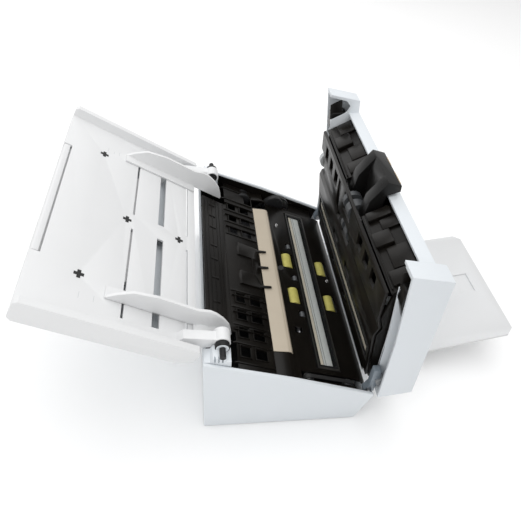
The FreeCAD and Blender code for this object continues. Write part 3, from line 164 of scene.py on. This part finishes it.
paints = {
    "shellWhite": finish("shellWhite", (0.70, 0.735, 0.765),
                         tint=0.01, patch=25, bump=0.12, rough=(0.42, 0.52)),
    # one white tray plastic in two copies: a lit copy with a painted highlight for the tilted tray top, and a
    # darker copy with painted shade for the output tray
    "trayWhite": finish("trayWhite", (0.76, 0.765, 0.77),
                        tint=0.01, patch=25, bump=0.1, rough=(0.45, 0.55)),
    "trayWhiteShaded": finish("trayWhiteShaded", (0.68, 0.685, 0.69),
                          tint=0.01, patch=25, bump=0.15, rough=(0.5, 0.6)),
    # painted sheen: the brownish lighter drift colour of the black interior stands for the brown sheen on its
    # glossy plastic
    "interiorBlack": finish("interiorBlack", (0.004, 0.0038, 0.0036),
                            tint=0.3, patch=30, grain=900, bump=0.12,
                            rough=(0.26, 0.42), wearAndSheen=(0.010, 0.008, 0.006), gloss=0.22),
    "mattBlack": finish("mattBlack", (0.016, 0.016, 0.017),
                        tint=0.2, patch=40, bump=0.2, rough=(0.4, 0.55), gloss=0.25),
    "moduleBlack": finish("moduleBlack", (0.005, 0.005, 0.0052),
                          tint=0.2, patch=40, bump=0.08, rough=(0.24, 0.34),
                          wearAndSheen=(0.011, 0.0105, 0.01), gloss=0.25),
    "greyPlastic": finish("greyPlastic", (0.25, 0.26, 0.27),
                          tint=0.05, patch=40, bump=0.1, rough=(0.4, 0.5)),
    "bluishGrey": finish("bluishGrey", (0.20, 0.235, 0.27),
                         tint=0.08, patch=50, bump=0.1, rough=(0.3, 0.42)),
    "paleGrey": finish("paleGrey", (0.55, 0.57, 0.58),
                       tint=0.03, patch=40, bump=0.08, rough=(0.4, 0.5)),
    "tanFilm": finish("tanFilm", (0.50, 0.43, 0.335),
                      tint=0.05, patch=18, grain=2200, bump=0.05, rough=(0.3, 0.4),
                      wearAndSheen=(0.56, 0.49, 0.385)),
    "beigeBar": finish("beigeBar", (0.72, 0.67, 0.55),
                       tint=0.05, patch=90, bump=0.04, rough=(0.3, 0.4)),
    "referenceGrey": finish("referenceGrey", (0.66, 0.69, 0.67),
                            tint=0.03, patch=50, bump=0.03, rough=(0.35, 0.45)),
    "rollerRubber": finish("rollerRubber", (0.50, 0.45, 0.085),
                           tint=0.14, patch=240, grain=2600, bump=0.35,
                           rough=(0.6, 0.75), wearAndSheen=(0.62, 0.57, 0.16)),
    "darkRubber": finish("darkRubber", (0.02, 0.02, 0.021),
                         tint=0.2, patch=200, grain=2400, bump=0.3,
                         rough=(0.6, 0.75)),
    "barrelRubber": finish("barrelRubber", (0.075, 0.08, 0.085),
                           tint=0.1, patch=120, grain=2400, bump=0.25,
                           rough=(0.35, 0.5)),
    "shaftSteel": finish("shaftSteel", (0.45, 0.45, 0.46),
                         tint=0.06, patch=180, grain=3000, bump=0.05,
                         rough=(0.25, 0.38), metal=1, stretch=(0.05, 1, 1)),
    "springSteel": finish("springSteel", (0.72, 0.72, 0.72),
                          tint=0.05, patch=200, bump=0.03, rough=(0.15, 0.25),
                          metal=1),
    "motorPaint": finish("motorPaint", (0.05, 0.05, 0.055),
                         tint=0.1, patch=80, bump=0.1, rough=(0.3, 0.42)),
    "beltRubber": finish("beltRubber", (0.018, 0.018, 0.018),
                         tint=0.2, patch=200, bump=0.3, rough=(0.6, 0.7)),
    "boardGreen": finish("boardGreen", (0.02, 0.10, 0.045),
                         tint=0.25, patch=220, bump=0.1, rough=(0.3, 0.45)),
    "bronze": finish("bronze", (0.42, 0.33, 0.22),
                     tint=0.1, patch=200, bump=0.05, rough=(0.25, 0.4), metal=0.4),
    "keyGrey": finish("keyGrey", (0.42, 0.44, 0.45),
                      tint=0.03, patch=80, bump=0.05, rough=(0.3, 0.4)),
    "keyBlue": finish("keyBlue", (0.035, 0.14, 0.36),
                      tint=0.06, patch=80, bump=0.03, rough=(0.2, 0.3), coat=0.3),
    "screwBlack": finish("screwBlack", (0.012, 0.012, 0.012),
                         tint=0.2, patch=300, bump=0.05, rough=(0.3, 0.45)),
    "bushWhite": finish("bushWhite", (0.6, 0.6, 0.57),
                        tint=0.03, patch=100, bump=0.05, rough=(0.4, 0.5)),
    "lensClear": finish("lensClear", (0.6, 0.75, 0.82),
                        tint=0.02, patch=80, bump=0.01, rough=(0.08, 0.14), alpha=0.85),
    "clearFilm": finish("clearFilm", (0.16, 0.17, 0.18),
                        tint=0.1, patch=40, bump=0.02, rough=(0.08, 0.16),
                        alpha=0.55, coat=0.5),
    "rimGrey": finish("rimGrey", (0.035, 0.034, 0.03),
                      tint=0.1, patch=60, bump=0.05, rough=(0.25, 0.35), gloss=0.5),
    "sensorGlass": finish("sensorGlass", (0.05, 0.06, 0.055),
                          tint=0.05, patch=30, bump=0.005, rough=(0.02, 0.06),
                          alpha=0.07),
}
print("finishes made:", len(paints))


def only(thing):
    bpy.ops.object.select_all(action="DESELECT")
    thing.hide_set(False)
    thing.select_set(True)
    bpy.context.view_layer.objects.active = thing
    return thing


def dress(thing, paint):
    thing.data.materials.clear()
    thing.data.materials.append(paints[paint])
    return thing


# stands for a CAD node with its sharp edges bevelled, on a merged copy of the node's mesh
def rounded(node, wide, steps, paint, slot, body):
    only(nodes[node])
    bpy.ops.object.duplicate()
    piece = bpy.context.active_object
    for key in list(piece.keys()):
        del piece[key]
    piece.parent = None
    piece.matrix_world = Matrix.Identity(4)
    piece.name = node + ".shaped"
    bpy.ops.object.mode_set(mode="EDIT")
    bpy.ops.mesh.select_all(action="SELECT")
    bpy.ops.mesh.remove_doubles(threshold=0.00001)
    bpy.ops.mesh.dissolve_limited(angle_limit=math.radians(1))
    bpy.ops.object.mode_set(mode="OBJECT")
    edge = piece.modifiers.new("edge", "BEVEL")
    edge.width = wide
    edge.segments = steps
    edge.limit_method = "ANGLE"
    edge.angle_limit = math.radians(32)
    edge.use_clamp_overlap = True
    bpy.ops.object.modifier_apply(modifier="edge")
    bpy.ops.object.shade_smooth_by_angle(angle=smoothAngle)
    dress(piece, paint)
    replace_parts(piece, node)
    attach(piece, body)
    return piece


makeStudio()

shaped = (                # node, bevel width, bevel steps, finish, slot, body
    ("left_side_panel", 0.0012, 3, "shellWhite", "white_shell", "base"),
    ("right_side_panel", 0.0012, 3, "shellWhite", "white_shell", "base"),
    ("rear_panel", 0.0009, 2, "shellWhite", "white_shell", "base"),
    ("front_panel", 0.0009, 2, "shellWhite", "white_shell", "base"),
    ("tray_blocks", 0.0005, 2, "shellWhite", "light_grey_plastic", "base"),
    ("cover_shell", 0.0012, 3, "shellWhite", "white_shell", "cover"),
    ("tray_top", 0.001, 3, "trayWhite", "tray_white", "input_tray"),
    ("tray_underside", 0.001, 2, "shellWhite", "white_shell", "input_tray"),
    ("tray_extension", 0.0006, 2, "trayWhite", "tray_white", "extension"),
    ("left_paper_guide", 0.0006, 3, "trayWhite", "tray_white", "left_guide"),
    ("right_paper_guide", 0.0006, 3, "trayWhite", "tray_white", "right_guide"),
    ("output_tray", 0.0008, 3, "trayWhiteShaded", "tray_white", "output_plate"),
    ("output_runner", 0.0006, 2, "trayWhiteShaded", "light_grey_plastic", "output_slide"),
    ("lower_guide", 0.0003, 2, "interiorBlack", "black_interior", "base"),
    ("separation_cover", 0.0004, 2, "interiorBlack", "black_interior", "base"),
    ("sensor_deck", 0.0003, 2, "interiorBlack", "black_interior", "base"),
    ("upper_guide", 0.0003, 2, "interiorBlack", "black_interior", "cover"),
    ("pick_module", 0.0012, 3, "moduleBlack", "bronze_module", "cover"),
    ("latch_lever", 0.0006, 2, "paleGrey", "light_grey_plastic", "latch"),
    ("cover_hinges", 0.0006, 2, "bluishGrey", "grey_plastic", "cover"),
)
for entry in shaped:
    rounded(*entry)
print("shells rounded:", len(shaped))

carried = {
    "chassis_floor": "mattBlack", "rubber_feet": "darkRubber", "guide_strip": "tanFilm",
    "lower_sensor_housing": "mattBlack", "lower_glass": "sensorGlass",
    "feed_shaft": "shaftSteel", "feed_rollers": "rollerRubber",
    "exit_shaft": "shaftSteel", "exit_rollers": "rollerRubber", "shaft_bushes": "bushWhite",
    "idler_rollers": "barrelRubber", "feed_motor": "motorPaint", "motor_pulley": "greyPlastic",
    "feed_belt": "beltRubber", "timing_belt": "beltRubber", "double_feed_sensor": "mattBlack",
    "main_board": "boardGreen", "tray_hinge_pins": "mattBlack", "cover_hinge_pins": "shaftSteel",
    "cover_frame": "interiorBlack", "upper_sensor_housing": "mattBlack", "upper_glass": "sensorGlass",
    "pick_shaft": "shaftSteel", "pick_roller": "barrelRubber",
    "feed_in_shaft": "shaftSteel", "feed_in_roller": "barrelRubber", "pick_belt": "beltRubber",
    "feed_pinch_rollers": "mattBlack", "exit_pinch_rollers": "mattBlack", "pinch_springs": "springSteel",
    "film_guides": "clearFilm", "cover_drive_wheel": "paleGrey", "start_button": "keyBlue",
    "power_button": "keyGrey", "indicator_lens": "lensClear",
    "guide_pinion": "greyPlastic",
}
for node, paint in carried.items():
    dress(nodes[node], paint)
print("carried nodes dressed:", len(carried))

coverPin = Vector(joints["cover_hinge"]["pos_m"])
coverSwing = math.radians(-joints["cover_hinge"]["range_deg"][0])
trayPin = Vector(joints["input_tray_hinge"]["pos_m"])
traySlide = Vector(joints["tray_extension_slide"]["axis"])
traySlope = math.atan2(traySlide.z, traySlide.y)
trayDrop = 0.0167         # the tray's surface under its hinge line


def turnAbout(pin, angle):
    return Matrix.Translation(pin) @ Matrix.Rotation(angle, 4, "X") @ Matrix.Translation(-pin)


places = {
    "base": Matrix.Identity(4),
    "cover": turnAbout(coverPin, coverSwing),        # drawn closed, then swung open
    "tray": turnAbout(trayPin, traySlope),           # drawn level, then tipped up
}


def trayPoint(reach, lift):             # reach out from the tray's hinge, lift over its surface
    return half * 1000 - trayPin.y * 1000 - reach, (trayPin.z - trayDrop) * 1000 + lift


# a side outline in millimetres, as depth from the back and height, extruded across from low to high
def profilePlate(name, outline, low, high, paint, slot, body, place="base", bevel=0.0003, steps=2):
    bpy.ops.object.select_all(action="DESELECT")
    bpy.ops.mesh.primitive_circle_add(vertices=len(outline), radius=0.01, fill_type="NGON")
    piece = bpy.context.active_object
    piece.name = name
    for corner, (depth, height) in zip(piece.data.vertices, outline):
        corner.co = (low * mm, half - depth * mm, height * mm)
    bpy.ops.object.mode_set(mode="EDIT")
    bpy.ops.mesh.select_all(action="SELECT")
    bpy.ops.mesh.extrude_region_move(TRANSFORM_OT_translate={"value": ((high - low) * mm, 0, 0)})
    bpy.ops.mesh.select_all(action="SELECT")
    bpy.ops.mesh.normals_make_consistent(inside=False)
    bpy.ops.object.mode_set(mode="OBJECT")
    return settle(piece, paint, body, place, bevel, steps)


def settle(piece, paint, body, place="base", bevel=0.0, steps=2):
    only(piece)
    if bevel:
        edge = piece.modifiers.new("edge", "BEVEL")
        edge.width = bevel
        edge.segments = steps
        edge.limit_method = "ANGLE"
        edge.angle_limit = math.radians(30)
        bpy.ops.object.modifier_apply(modifier="edge")
    piece.data.transform(piece.matrix_world)
    piece.matrix_world = Matrix.Identity(4)
    piece.data.transform(places[place])
    bpy.ops.object.shade_smooth_by_angle(angle=smoothAngle)
    dress(piece, paint)
    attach(piece, body)
    return piece


# rings are (distance across, radius) pairs round an axis along X
def turnedPart(name, rings, depth, height, low, paint, body, place="base", sides=48, bevel=0.0002):
    bpy.ops.object.select_all(action="DESELECT")
    first = rings[0]
    bpy.ops.mesh.primitive_circle_add(vertices=sides, radius=first[1] * mm, fill_type="NGON",
                                      location=(low * mm, half - depth * mm, height * mm),
                                      rotation=(0, math.radians(90), 0))
    piece = bpy.context.active_object
    piece.name = name
    bpy.ops.object.transform_apply(location=True, rotation=True, scale=True)
    middle = (0, half - depth * mm, height * mm)
    bpy.ops.object.mode_set(mode="EDIT")
    bpy.ops.mesh.select_all(action="SELECT")
    before = first
    for ring in rings[1:]:
        step = ((ring[0] - before[0]) * mm, 0, 0)
        bpy.ops.mesh.extrude_region_move(TRANSFORM_OT_translate={"value": step})
        grow = ring[1] / before[1]
        if abs(grow - 1) > 0.0001:
            at = ((low + ring[0]) * mm, middle[1], middle[2])
            bpy.ops.transform.resize(value=(1, grow, grow), center_override=at)
        before = ring
    bpy.ops.mesh.select_all(action="SELECT")
    bpy.ops.mesh.normals_make_consistent(inside=False)
    bpy.ops.object.mode_set(mode="OBJECT")
    return settle(piece, paint, body, place, bevel)


def joined(name, parts):
    bpy.ops.object.select_all(action="DESELECT")
    for part in parts:
        part.select_set(True)
    bpy.context.view_layer.objects.active = parts[0]
    bpy.ops.object.join()
    parts[0].name = name
    return parts[0]


liner = {                 # black lining inside the white side panels
    "outline": ((3.4, 60), (3.4, 123.6), (90, 89.6), (176.6, 51.4), (168, 22), (60, 22)),
    "thick": 0.5,
    "panelInner": 151,
    "gap": 0.02,
}
for side, name in ((-1, "nearLiner"), (1, "farLiner")):
    inner = side * (liner["panelInner"] - liner["thick"] - liner["gap"])
    outer = side * (liner["panelInner"] - liner["gap"])
    profilePlate(name, liner["outline"], min(inner, outer), max(inner, outer), "interiorBlack",
                 "black_interior", "base", bevel=0.0001, steps=1)

guide = {
    "bendDepth": 26,
    "bendHeight": 106.3,
    "slope": (106.3 - 84.5) / (73.5 - 26),
    "throatDepth": 4,
    "throatHeight": 119.2,
}


def guideTop(depth, lift=0.0):
    if depth < guide["bendDepth"]:
        fall = (guide["throatHeight"] - guide["bendHeight"]) / (guide["bendDepth"] - guide["throatDepth"])
        return guide["throatHeight"] - (depth - guide["throatDepth"]) * fall + lift
    return guide["bendHeight"] - (depth - guide["bendDepth"]) * guide["slope"] + lift


def onGuide(start, end, low, high):     # an outline that follows the guide's slope
    return ((start, guideTop(start, low)), (start, guideTop(start, high)),
            (end, guideTop(end, high)), (end, guideTop(end, low)))


frames = {
    "rows": ((37, 49.4), (53, 67.4)),
    "columns": (-5, -4, -3, -2, 2, 3, 4),
    "pitch": 23,
    "wide": 12.6,
    "bar": 1.1,
    "head": 1.2,
    "sunk": -0.3,
    "high": 1.3,
}


def frameBit(start, end, low, high):
    outline = onGuide(start, end, frames["sunk"], frames["high"])
    return profilePlate("bit", outline, low, high, "interiorBlack", "black_interior", "base")


bits = []
for column in frames["columns"]:
    nearX = column * frames["pitch"] + (3 if column > 0 else -15) - 0.4
    farX = nearX + frames["wide"]
    for start, end in frames["rows"]:
        bits.append(frameBit(start, start + frames["head"], nearX, farX))
        bits.append(frameBit(start, end, nearX - frames["bar"], nearX))
        bits.append(frameBit(start, end, farX, farX + frames["bar"]))
joined("pocketFrames", bits)


def guideBar(name, outline, low, high):
    return profilePlate(name, outline, low, high, "interiorBlack", "black_interior", "base", bevel=0.0002)


rail = {
    "starts": (7.4, 11.4, 16.2, 21.4, 25.0, 30.4),
    "deep": 0.9,
    "sunk": -0.3,
    "high": 0.55,
    "half": 101.6,
    "clips": (-92, -71, -37, -8, 14, 46, 67, 88),
    "clipRun": (12.8, 20.2),
    "clipHigh": 0.8,
    "clipWide": 2.4,
}
rails = []
for start in rail["starts"]:
    outline = onGuide(start, start + rail["deep"], rail["sunk"], rail["high"])
    rails.append(guideBar("rail", outline, -rail["half"], rail["half"]))
for x in rail["clips"]:
    outline = onGuide(*rail["clipRun"], rail["sunk"], rail["clipHigh"])
    rails.append(guideBar("clip", outline, x, x + rail["clipWide"]))
joined("throatRails", rails)

rib = {
    "places": (-99.5, -76.5, -53.6, 59, 82, 105.4),
    "run": (33.5, 73),
    "sunk": -0.2,
    "high": 2.3,
    "wide": 0.7,
}
ribs = []
for x in rib["places"]:
    ribs.append(guideBar("rib", onGuide(*rib["run"], rib["sunk"], rib["high"]), x, x + rib["wide"]))
joined("thinRibs", ribs)
print("base details made")

drum = {
    "depth": 60,
    "height": 82,
    "low": 133,
    "rings": ((0, 9), (1, 11.4), (6, 11.4), (6.6, 7.2), (12, 7.2), (12.6, 10.2), (15, 10.2)),
}
gear = {
    "depth": 107,
    "height": 72,
    "low": 134.5,
    "rings": ((0, 12.6), (0.8, 14.2), (4, 14.2), (4.4, 6), (8, 6)),
}
for name, one in (("farDrum", drum), ("farGear", gear)):
    turnedPart(name, one["rings"], one["depth"], one["height"], one["low"],
               "mattBlack", "base")

cross = {                 # the cross shaped screws in the tray
    "long": 4.6,
    "wide": 1.7,
    "thick": 0.18,
    "lift": 0.02,
    "places": ((92.3, 134.5), (-92.3, 134.5), (0, 98.5), (0, 37.8)),
}
marks = []
for x, reach in cross["places"]:
    a, b = cross["long"], cross["wide"]
    corners = ((-b, a), (b, a), (b, b), (a, b), (a, -b), (b, -b),
               (b, -a), (-b, -a), (-b, -b), (-a, -b), (-a, b), (-b, b))
    bpy.ops.object.select_all(action="DESELECT")
    bpy.ops.mesh.primitive_circle_add(vertices=len(corners), radius=0.004, fill_type="NGON")
    mark = bpy.context.active_object
    depth, height = trayPoint(reach, cross["lift"])
    for corner, (dx, dy) in zip(mark.data.vertices, corners):
        corner.co = ((x + dx) * mm, half - (depth - dy) * mm, height * mm)
    bpy.ops.object.mode_set(mode="EDIT")
    bpy.ops.mesh.select_all(action="SELECT")
    bpy.ops.mesh.extrude_region_move(TRANSFORM_OT_translate={"value": (0, 0, cross["thick"] * mm)})
    bpy.ops.mesh.select_all(action="SELECT")
    bpy.ops.mesh.normals_make_consistent(inside=False)
    bpy.ops.object.mode_set(mode="OBJECT")
    marks.append(settle(mark, "screwBlack", "input_tray", "tray"))
screws = joined("crossScrews", marks)
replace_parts(screws, "tray_screws")


def trayPlate(name, reach0, reach1, lift0, lift1, low, high, paint, slot, bevel=0.0003):
    near, far = trayPoint(reach0, 0)[0], trayPoint(reach1, 0)[0]
    base = trayPoint(0, 0)[1]
    outline = ((near, base + lift0), (near, base + lift1), (far, base + lift1), (far, base + lift0))
    return profilePlate(name, outline, low, high, paint, slot, "input_tray", "tray", bevel)


tick = {
    "places": ((118, 101, 108), (124, 101, 105), (131, 101, 108), (118, -118, -111), (131, -118, -111)),
    "wide": 0.35,
    "sunk": -0.02,
    "high": 0.04,
}
ticks = []
for reach, low, high in tick["places"]:
    ticks.append(trayPlate("tick", reach, reach + tick["wide"], tick["sunk"], tick["high"], low, high,
                           "paleGrey", "tray_white", bevel=0))
joined("sizeTicks", ticks)

armRing = {
    "rings": ((0, 6.5), (0.5, 7), (5, 7), (5.4, 6.6)),
    "depth": 18,
    "height": 131.5,
    "lows": {"farArmRing": 134.8, "nearArmRing": -140.4},
}
for name, low in armRing["lows"].items():
    turnedPart(name, armRing["rings"], armRing["depth"], armRing["height"], low,
               "mattBlack", "base")
print("tray details made")


def coverBox(name, depth0, depth1, height0, height1, low, high, paint="interiorBlack",
             slot="black_interior", bevel=0.0006):
    outline = ((depth0, height0), (depth0, height1), (depth1, height1), (depth1, height0))
    return profilePlate(name, outline, low, high, paint, slot, "cover", "cover", bevel)


backWall = {
    "face": 42.2,
    "panels": (           # low, high, bottom, top, how far it stands out
        (-128, -112, 112, 132, 4), (-110, -84, 118, 141, 2.6), (-82, -64, 110, 128, 5.5),
        (-62, -48, 122, 142, 3.2), (-46, -34, 112, 136, 4.6), (34, 52, 114, 140, 4),
        (55, 80, 121, 143, 2.6), (83, 104, 111, 130, 5), (107, 128, 120, 140, 3.4),
    ),
    "panelBevel": 0.0012,
    "ledges": ((-130, -34, 143), (34, 130, 142.6), (-130, -34, 109.4), (34, 130, 109.4)),
    "ledgeStart": 39.6,
    "ledgeThick": 1.6,
}
wall = []
for low, high, bottom, top, proud in backWall["panels"]:
    wall.append(coverBox("panel", backWall["face"] - proud, backWall["face"], bottom, top, low, high,
                         bevel=backWall["panelBevel"]))
for low, high, level in backWall["ledges"]:
    wall.append(coverBox("ledge", backWall["ledgeStart"], backWall["face"], level,
                         level + backWall["ledgeThick"], low, high))
joined("wallPanels", wall)

slit = {"runs": ((-25.5, -5), (6, 20)), "depths": (26.6, 27.4), "heights": (153.2, 154.5)}
slots = []
for low, high in slit["runs"]:
    slots.append(coverBox("slot", *slit["depths"], *slit["heights"], low, high, "bronze", "bronze_module",
                          bevel=0.0002))
joined("moduleSlots", slots)
print("cover details made")

insert = {                # faceted black block inside each cheek, with a painted bluish glare patch on the far one
    "outline": ((25, 120), (32, 137), (46, 139), (60, 127), (77, 112.5), (70, 108), (40, 112)),
    "inner": 136.8,
    "outer": 149.6,
    "bevel": 0.0014,
    "face": ((29.4, 120.8), (34.6, 131), (39.4, 128.6), (36.4, 118.6)),
    "glareRun": (138.6, 149.9),
}
profilePlate("farInsert", insert["outline"], insert["inner"], insert["outer"], "moduleBlack", "black_matte",
             "cover", "cover", bevel=insert["bevel"], steps=3)
# painted reflection: a bluish grey plate on the far insert stands for bluish glare on its black plastic
profilePlate("insertGlarePatch", insert["face"], *insert["glareRun"], "bluishGrey", "grey_plastic", "cover", "cover",
             bevel=0.0006)
profilePlate("nearInsert", insert["outline"], -insert["outer"], -insert["inner"], "moduleBlack",
             "black_matte", "cover", "cover", bevel=insert["bevel"], steps=3)

deck = {"start": 96, "height": 75.4, "slope": (75.4 - 46.4) / (172 - 96)}
deckTilt = math.atan(deck["slope"])
glassStart = 123
upperShift = 1.4          # the upper frame starts this much further forward


def deckPoint(along, above, lift=0.0):  # along and above the deck's slope, from the glass's edge
    start = glassStart + (upperShift if lift else 0)
    level = deck["height"] - (start - deck["start"]) * deck["slope"] + lift
    return (start + along * math.cos(deckTilt) + above * math.sin(deckTilt),
            level - along * math.sin(deckTilt) + above * math.cos(deckTilt))


def deckStrip(name, along0, along1, above0, above1, low, high, paint, slot, body="base", place="base",
              lift=0.0, bevel=0.0002):
    corners = ((along0, above0), (along1, above0), (along1, above1), (along0, above1))
    outline = [deckPoint(along, above, lift) for along, above in corners]
    return profilePlate(name, outline, low, high, paint, slot, body, place, bevel)


glass = {
    "wide": 27.8,
    "rim": 1.5,
    "half": 127,
    "end": 2.4,
    "lowerRun": (0, 0.55),        # how low and how proud each frame is
    "upperRun": (-0.5, 0),
    "upperLift": 2.0,
    "stripHalf": 121,
    "stripRun": (-1.35, -1.15),
    "barRun": (5.2, 9.0),
    "whiteRuns": ((9.5, 12.0), (12.5, 20.6)),
    "upperBar": (13.5, 21.5, 1.1, 1.3),
}


def glassRim(name, run, body, lift=0.0):
    wide, edge, side, end = glass["wide"], glass["rim"], glass["half"], glass["end"]
    strips = ((0, edge, -side, side), (wide - edge, wide, -side, side),
              (0, wide, -side, end - side), (0, wide, side - end, side))
    rim = [deckStrip("rim", along0, along1, *run, low, high, "rimGrey", "black_matte", body, body, lift)
           for along0, along1, low, high in strips]
    return joined(name, rim)


glassRim("lowerRim", glass["lowerRun"], "base")
lowerBar = deckStrip("bar", *glass["barRun"], *glass["stripRun"], -glass["stripHalf"], glass["stripHalf"],
                     "beigeBar", "beige_bar")
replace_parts(joined("lowerLightStrip", [lowerBar]), "lower_light_bar")
whites = [deckStrip("white", *run, *glass["stripRun"], -glass["stripHalf"], glass["stripHalf"],
                    "referenceGrey", "reference_white") for run in glass["whiteRuns"]]
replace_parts(joined("lowerWhiteStrip", whites), "lower_white_reference")

glassRim("upperRim", glass["upperRun"], "cover", glass["upperLift"])
upperBar = deckStrip("upperLightStrip", *glass["upperBar"], -glass["stripHalf"], glass["stripHalf"],
                     "beigeBar", "beige_bar", "cover", "cover", glass["upperLift"])
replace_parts(upperBar, "upper_light_bar")
print("sensor frames made")


springs = {               # across, depth, height, radius, length, turns, wire radius
    "feedSpring": (92, 105.5, 69.6, 1.6, 5.0, 6, 0.28),
    "exitSpring": (8, 163.5, 47.2, 1.8, 4.2, 5, 0.3),
}
turnSteps = 12


def coil(name, x, depth, height, radius, long, turns, wire):
    count = turns * turnSteps
    line = bpy.data.curves.new(name, "CURVE")
    line.dimensions = "3D"
    line.bevel_depth = wire * mm
    line.bevel_resolution = 2
    run = line.splines.new("POLY")
    run.points.add(count)
    for i, spot in enumerate(run.points):
        turn = i / turnSteps * 2 * math.pi
        spot.co = ((x + radius * math.cos(turn)) * mm, half - (depth + radius * math.sin(turn)) * mm,
                   (height + long * i / count) * mm, 1)
    piece = bpy.data.objects.new(name, line)
    bpy.context.scene.collection.objects.link(piece)
    only(piece)
    bpy.ops.object.convert(target="MESH")
    return settle(bpy.context.active_object, "springSteel", "base")


for name, values in springs.items():
    coil(name, *values)
print("springs made")

hingeBlock = {
    "outline": ((160, 58.5), (161, 68), (170, 66.5), (171, 57.5)),
    "runs": {"hingeBlock": (-148, -139.5), "farHingeBlock": (139.5, 148)},
    "bevel": 0.0008,
}
for name, run in hingeBlock["runs"].items():
    profilePlate(name, hingeBlock["outline"], *run, "greyPlastic", "grey_plastic", "cover", "cover",
                 bevel=hingeBlock["bevel"])

hood = {                  # half rings over the tray's hinges
    "depth": 18,
    "height": 131.5,
    "outer": 8.1,
    "inner": 6.5,
    "from": -35,
    "to": 175,
    "step": 15,
    "runs": {"nearHood": (-135, -121), "farHood": (121, 135)},
    "bevel": 0.0004,
}


def hoodPoint(radius, angle):
    return hood["depth"] + radius * math.cos(angle), hood["height"] + radius * math.sin(angle)


sweep = [math.radians(angle) for angle in range(hood["from"], hood["to"] + 1, hood["step"])]
ring = [hoodPoint(hood["outer"], angle) for angle in sweep]
ring += [hoodPoint(hood["inner"], angle) for angle in reversed(sweep)]
for name, run in hood["runs"].items():
    profilePlate(name, ring, *run, "trayWhite", "tray_white", "input_tray", "base", bevel=hood["bevel"])
print("hoods made")

apron = {"outline": ((164, 51.2), (175.4, 46.6), (175.7, 47.3), (164.3, 51.9)), "half": 122}
profilePlate("frontApron", apron["outline"], -apron["half"], apron["half"], "interiorBlack", "black_matte",
             "cover", "cover", bevel=0.0001)
cheekLining = {
    "outline": ((14, 122.6), (90, 93.5), (158, 63.3), (158, 78), (90, 109), (14, 138)),
    "runs": {"nearCheekLiner": (-138.45, -137.7), "farCheekLiner": (137.7, 138.45)},
}
for name, run in cheekLining["runs"].items():
    profilePlate(name, cheekLining["outline"], *run, "interiorBlack", "black_matte", "cover", "cover",
                 bevel=0.0001)
print("cover liners made")
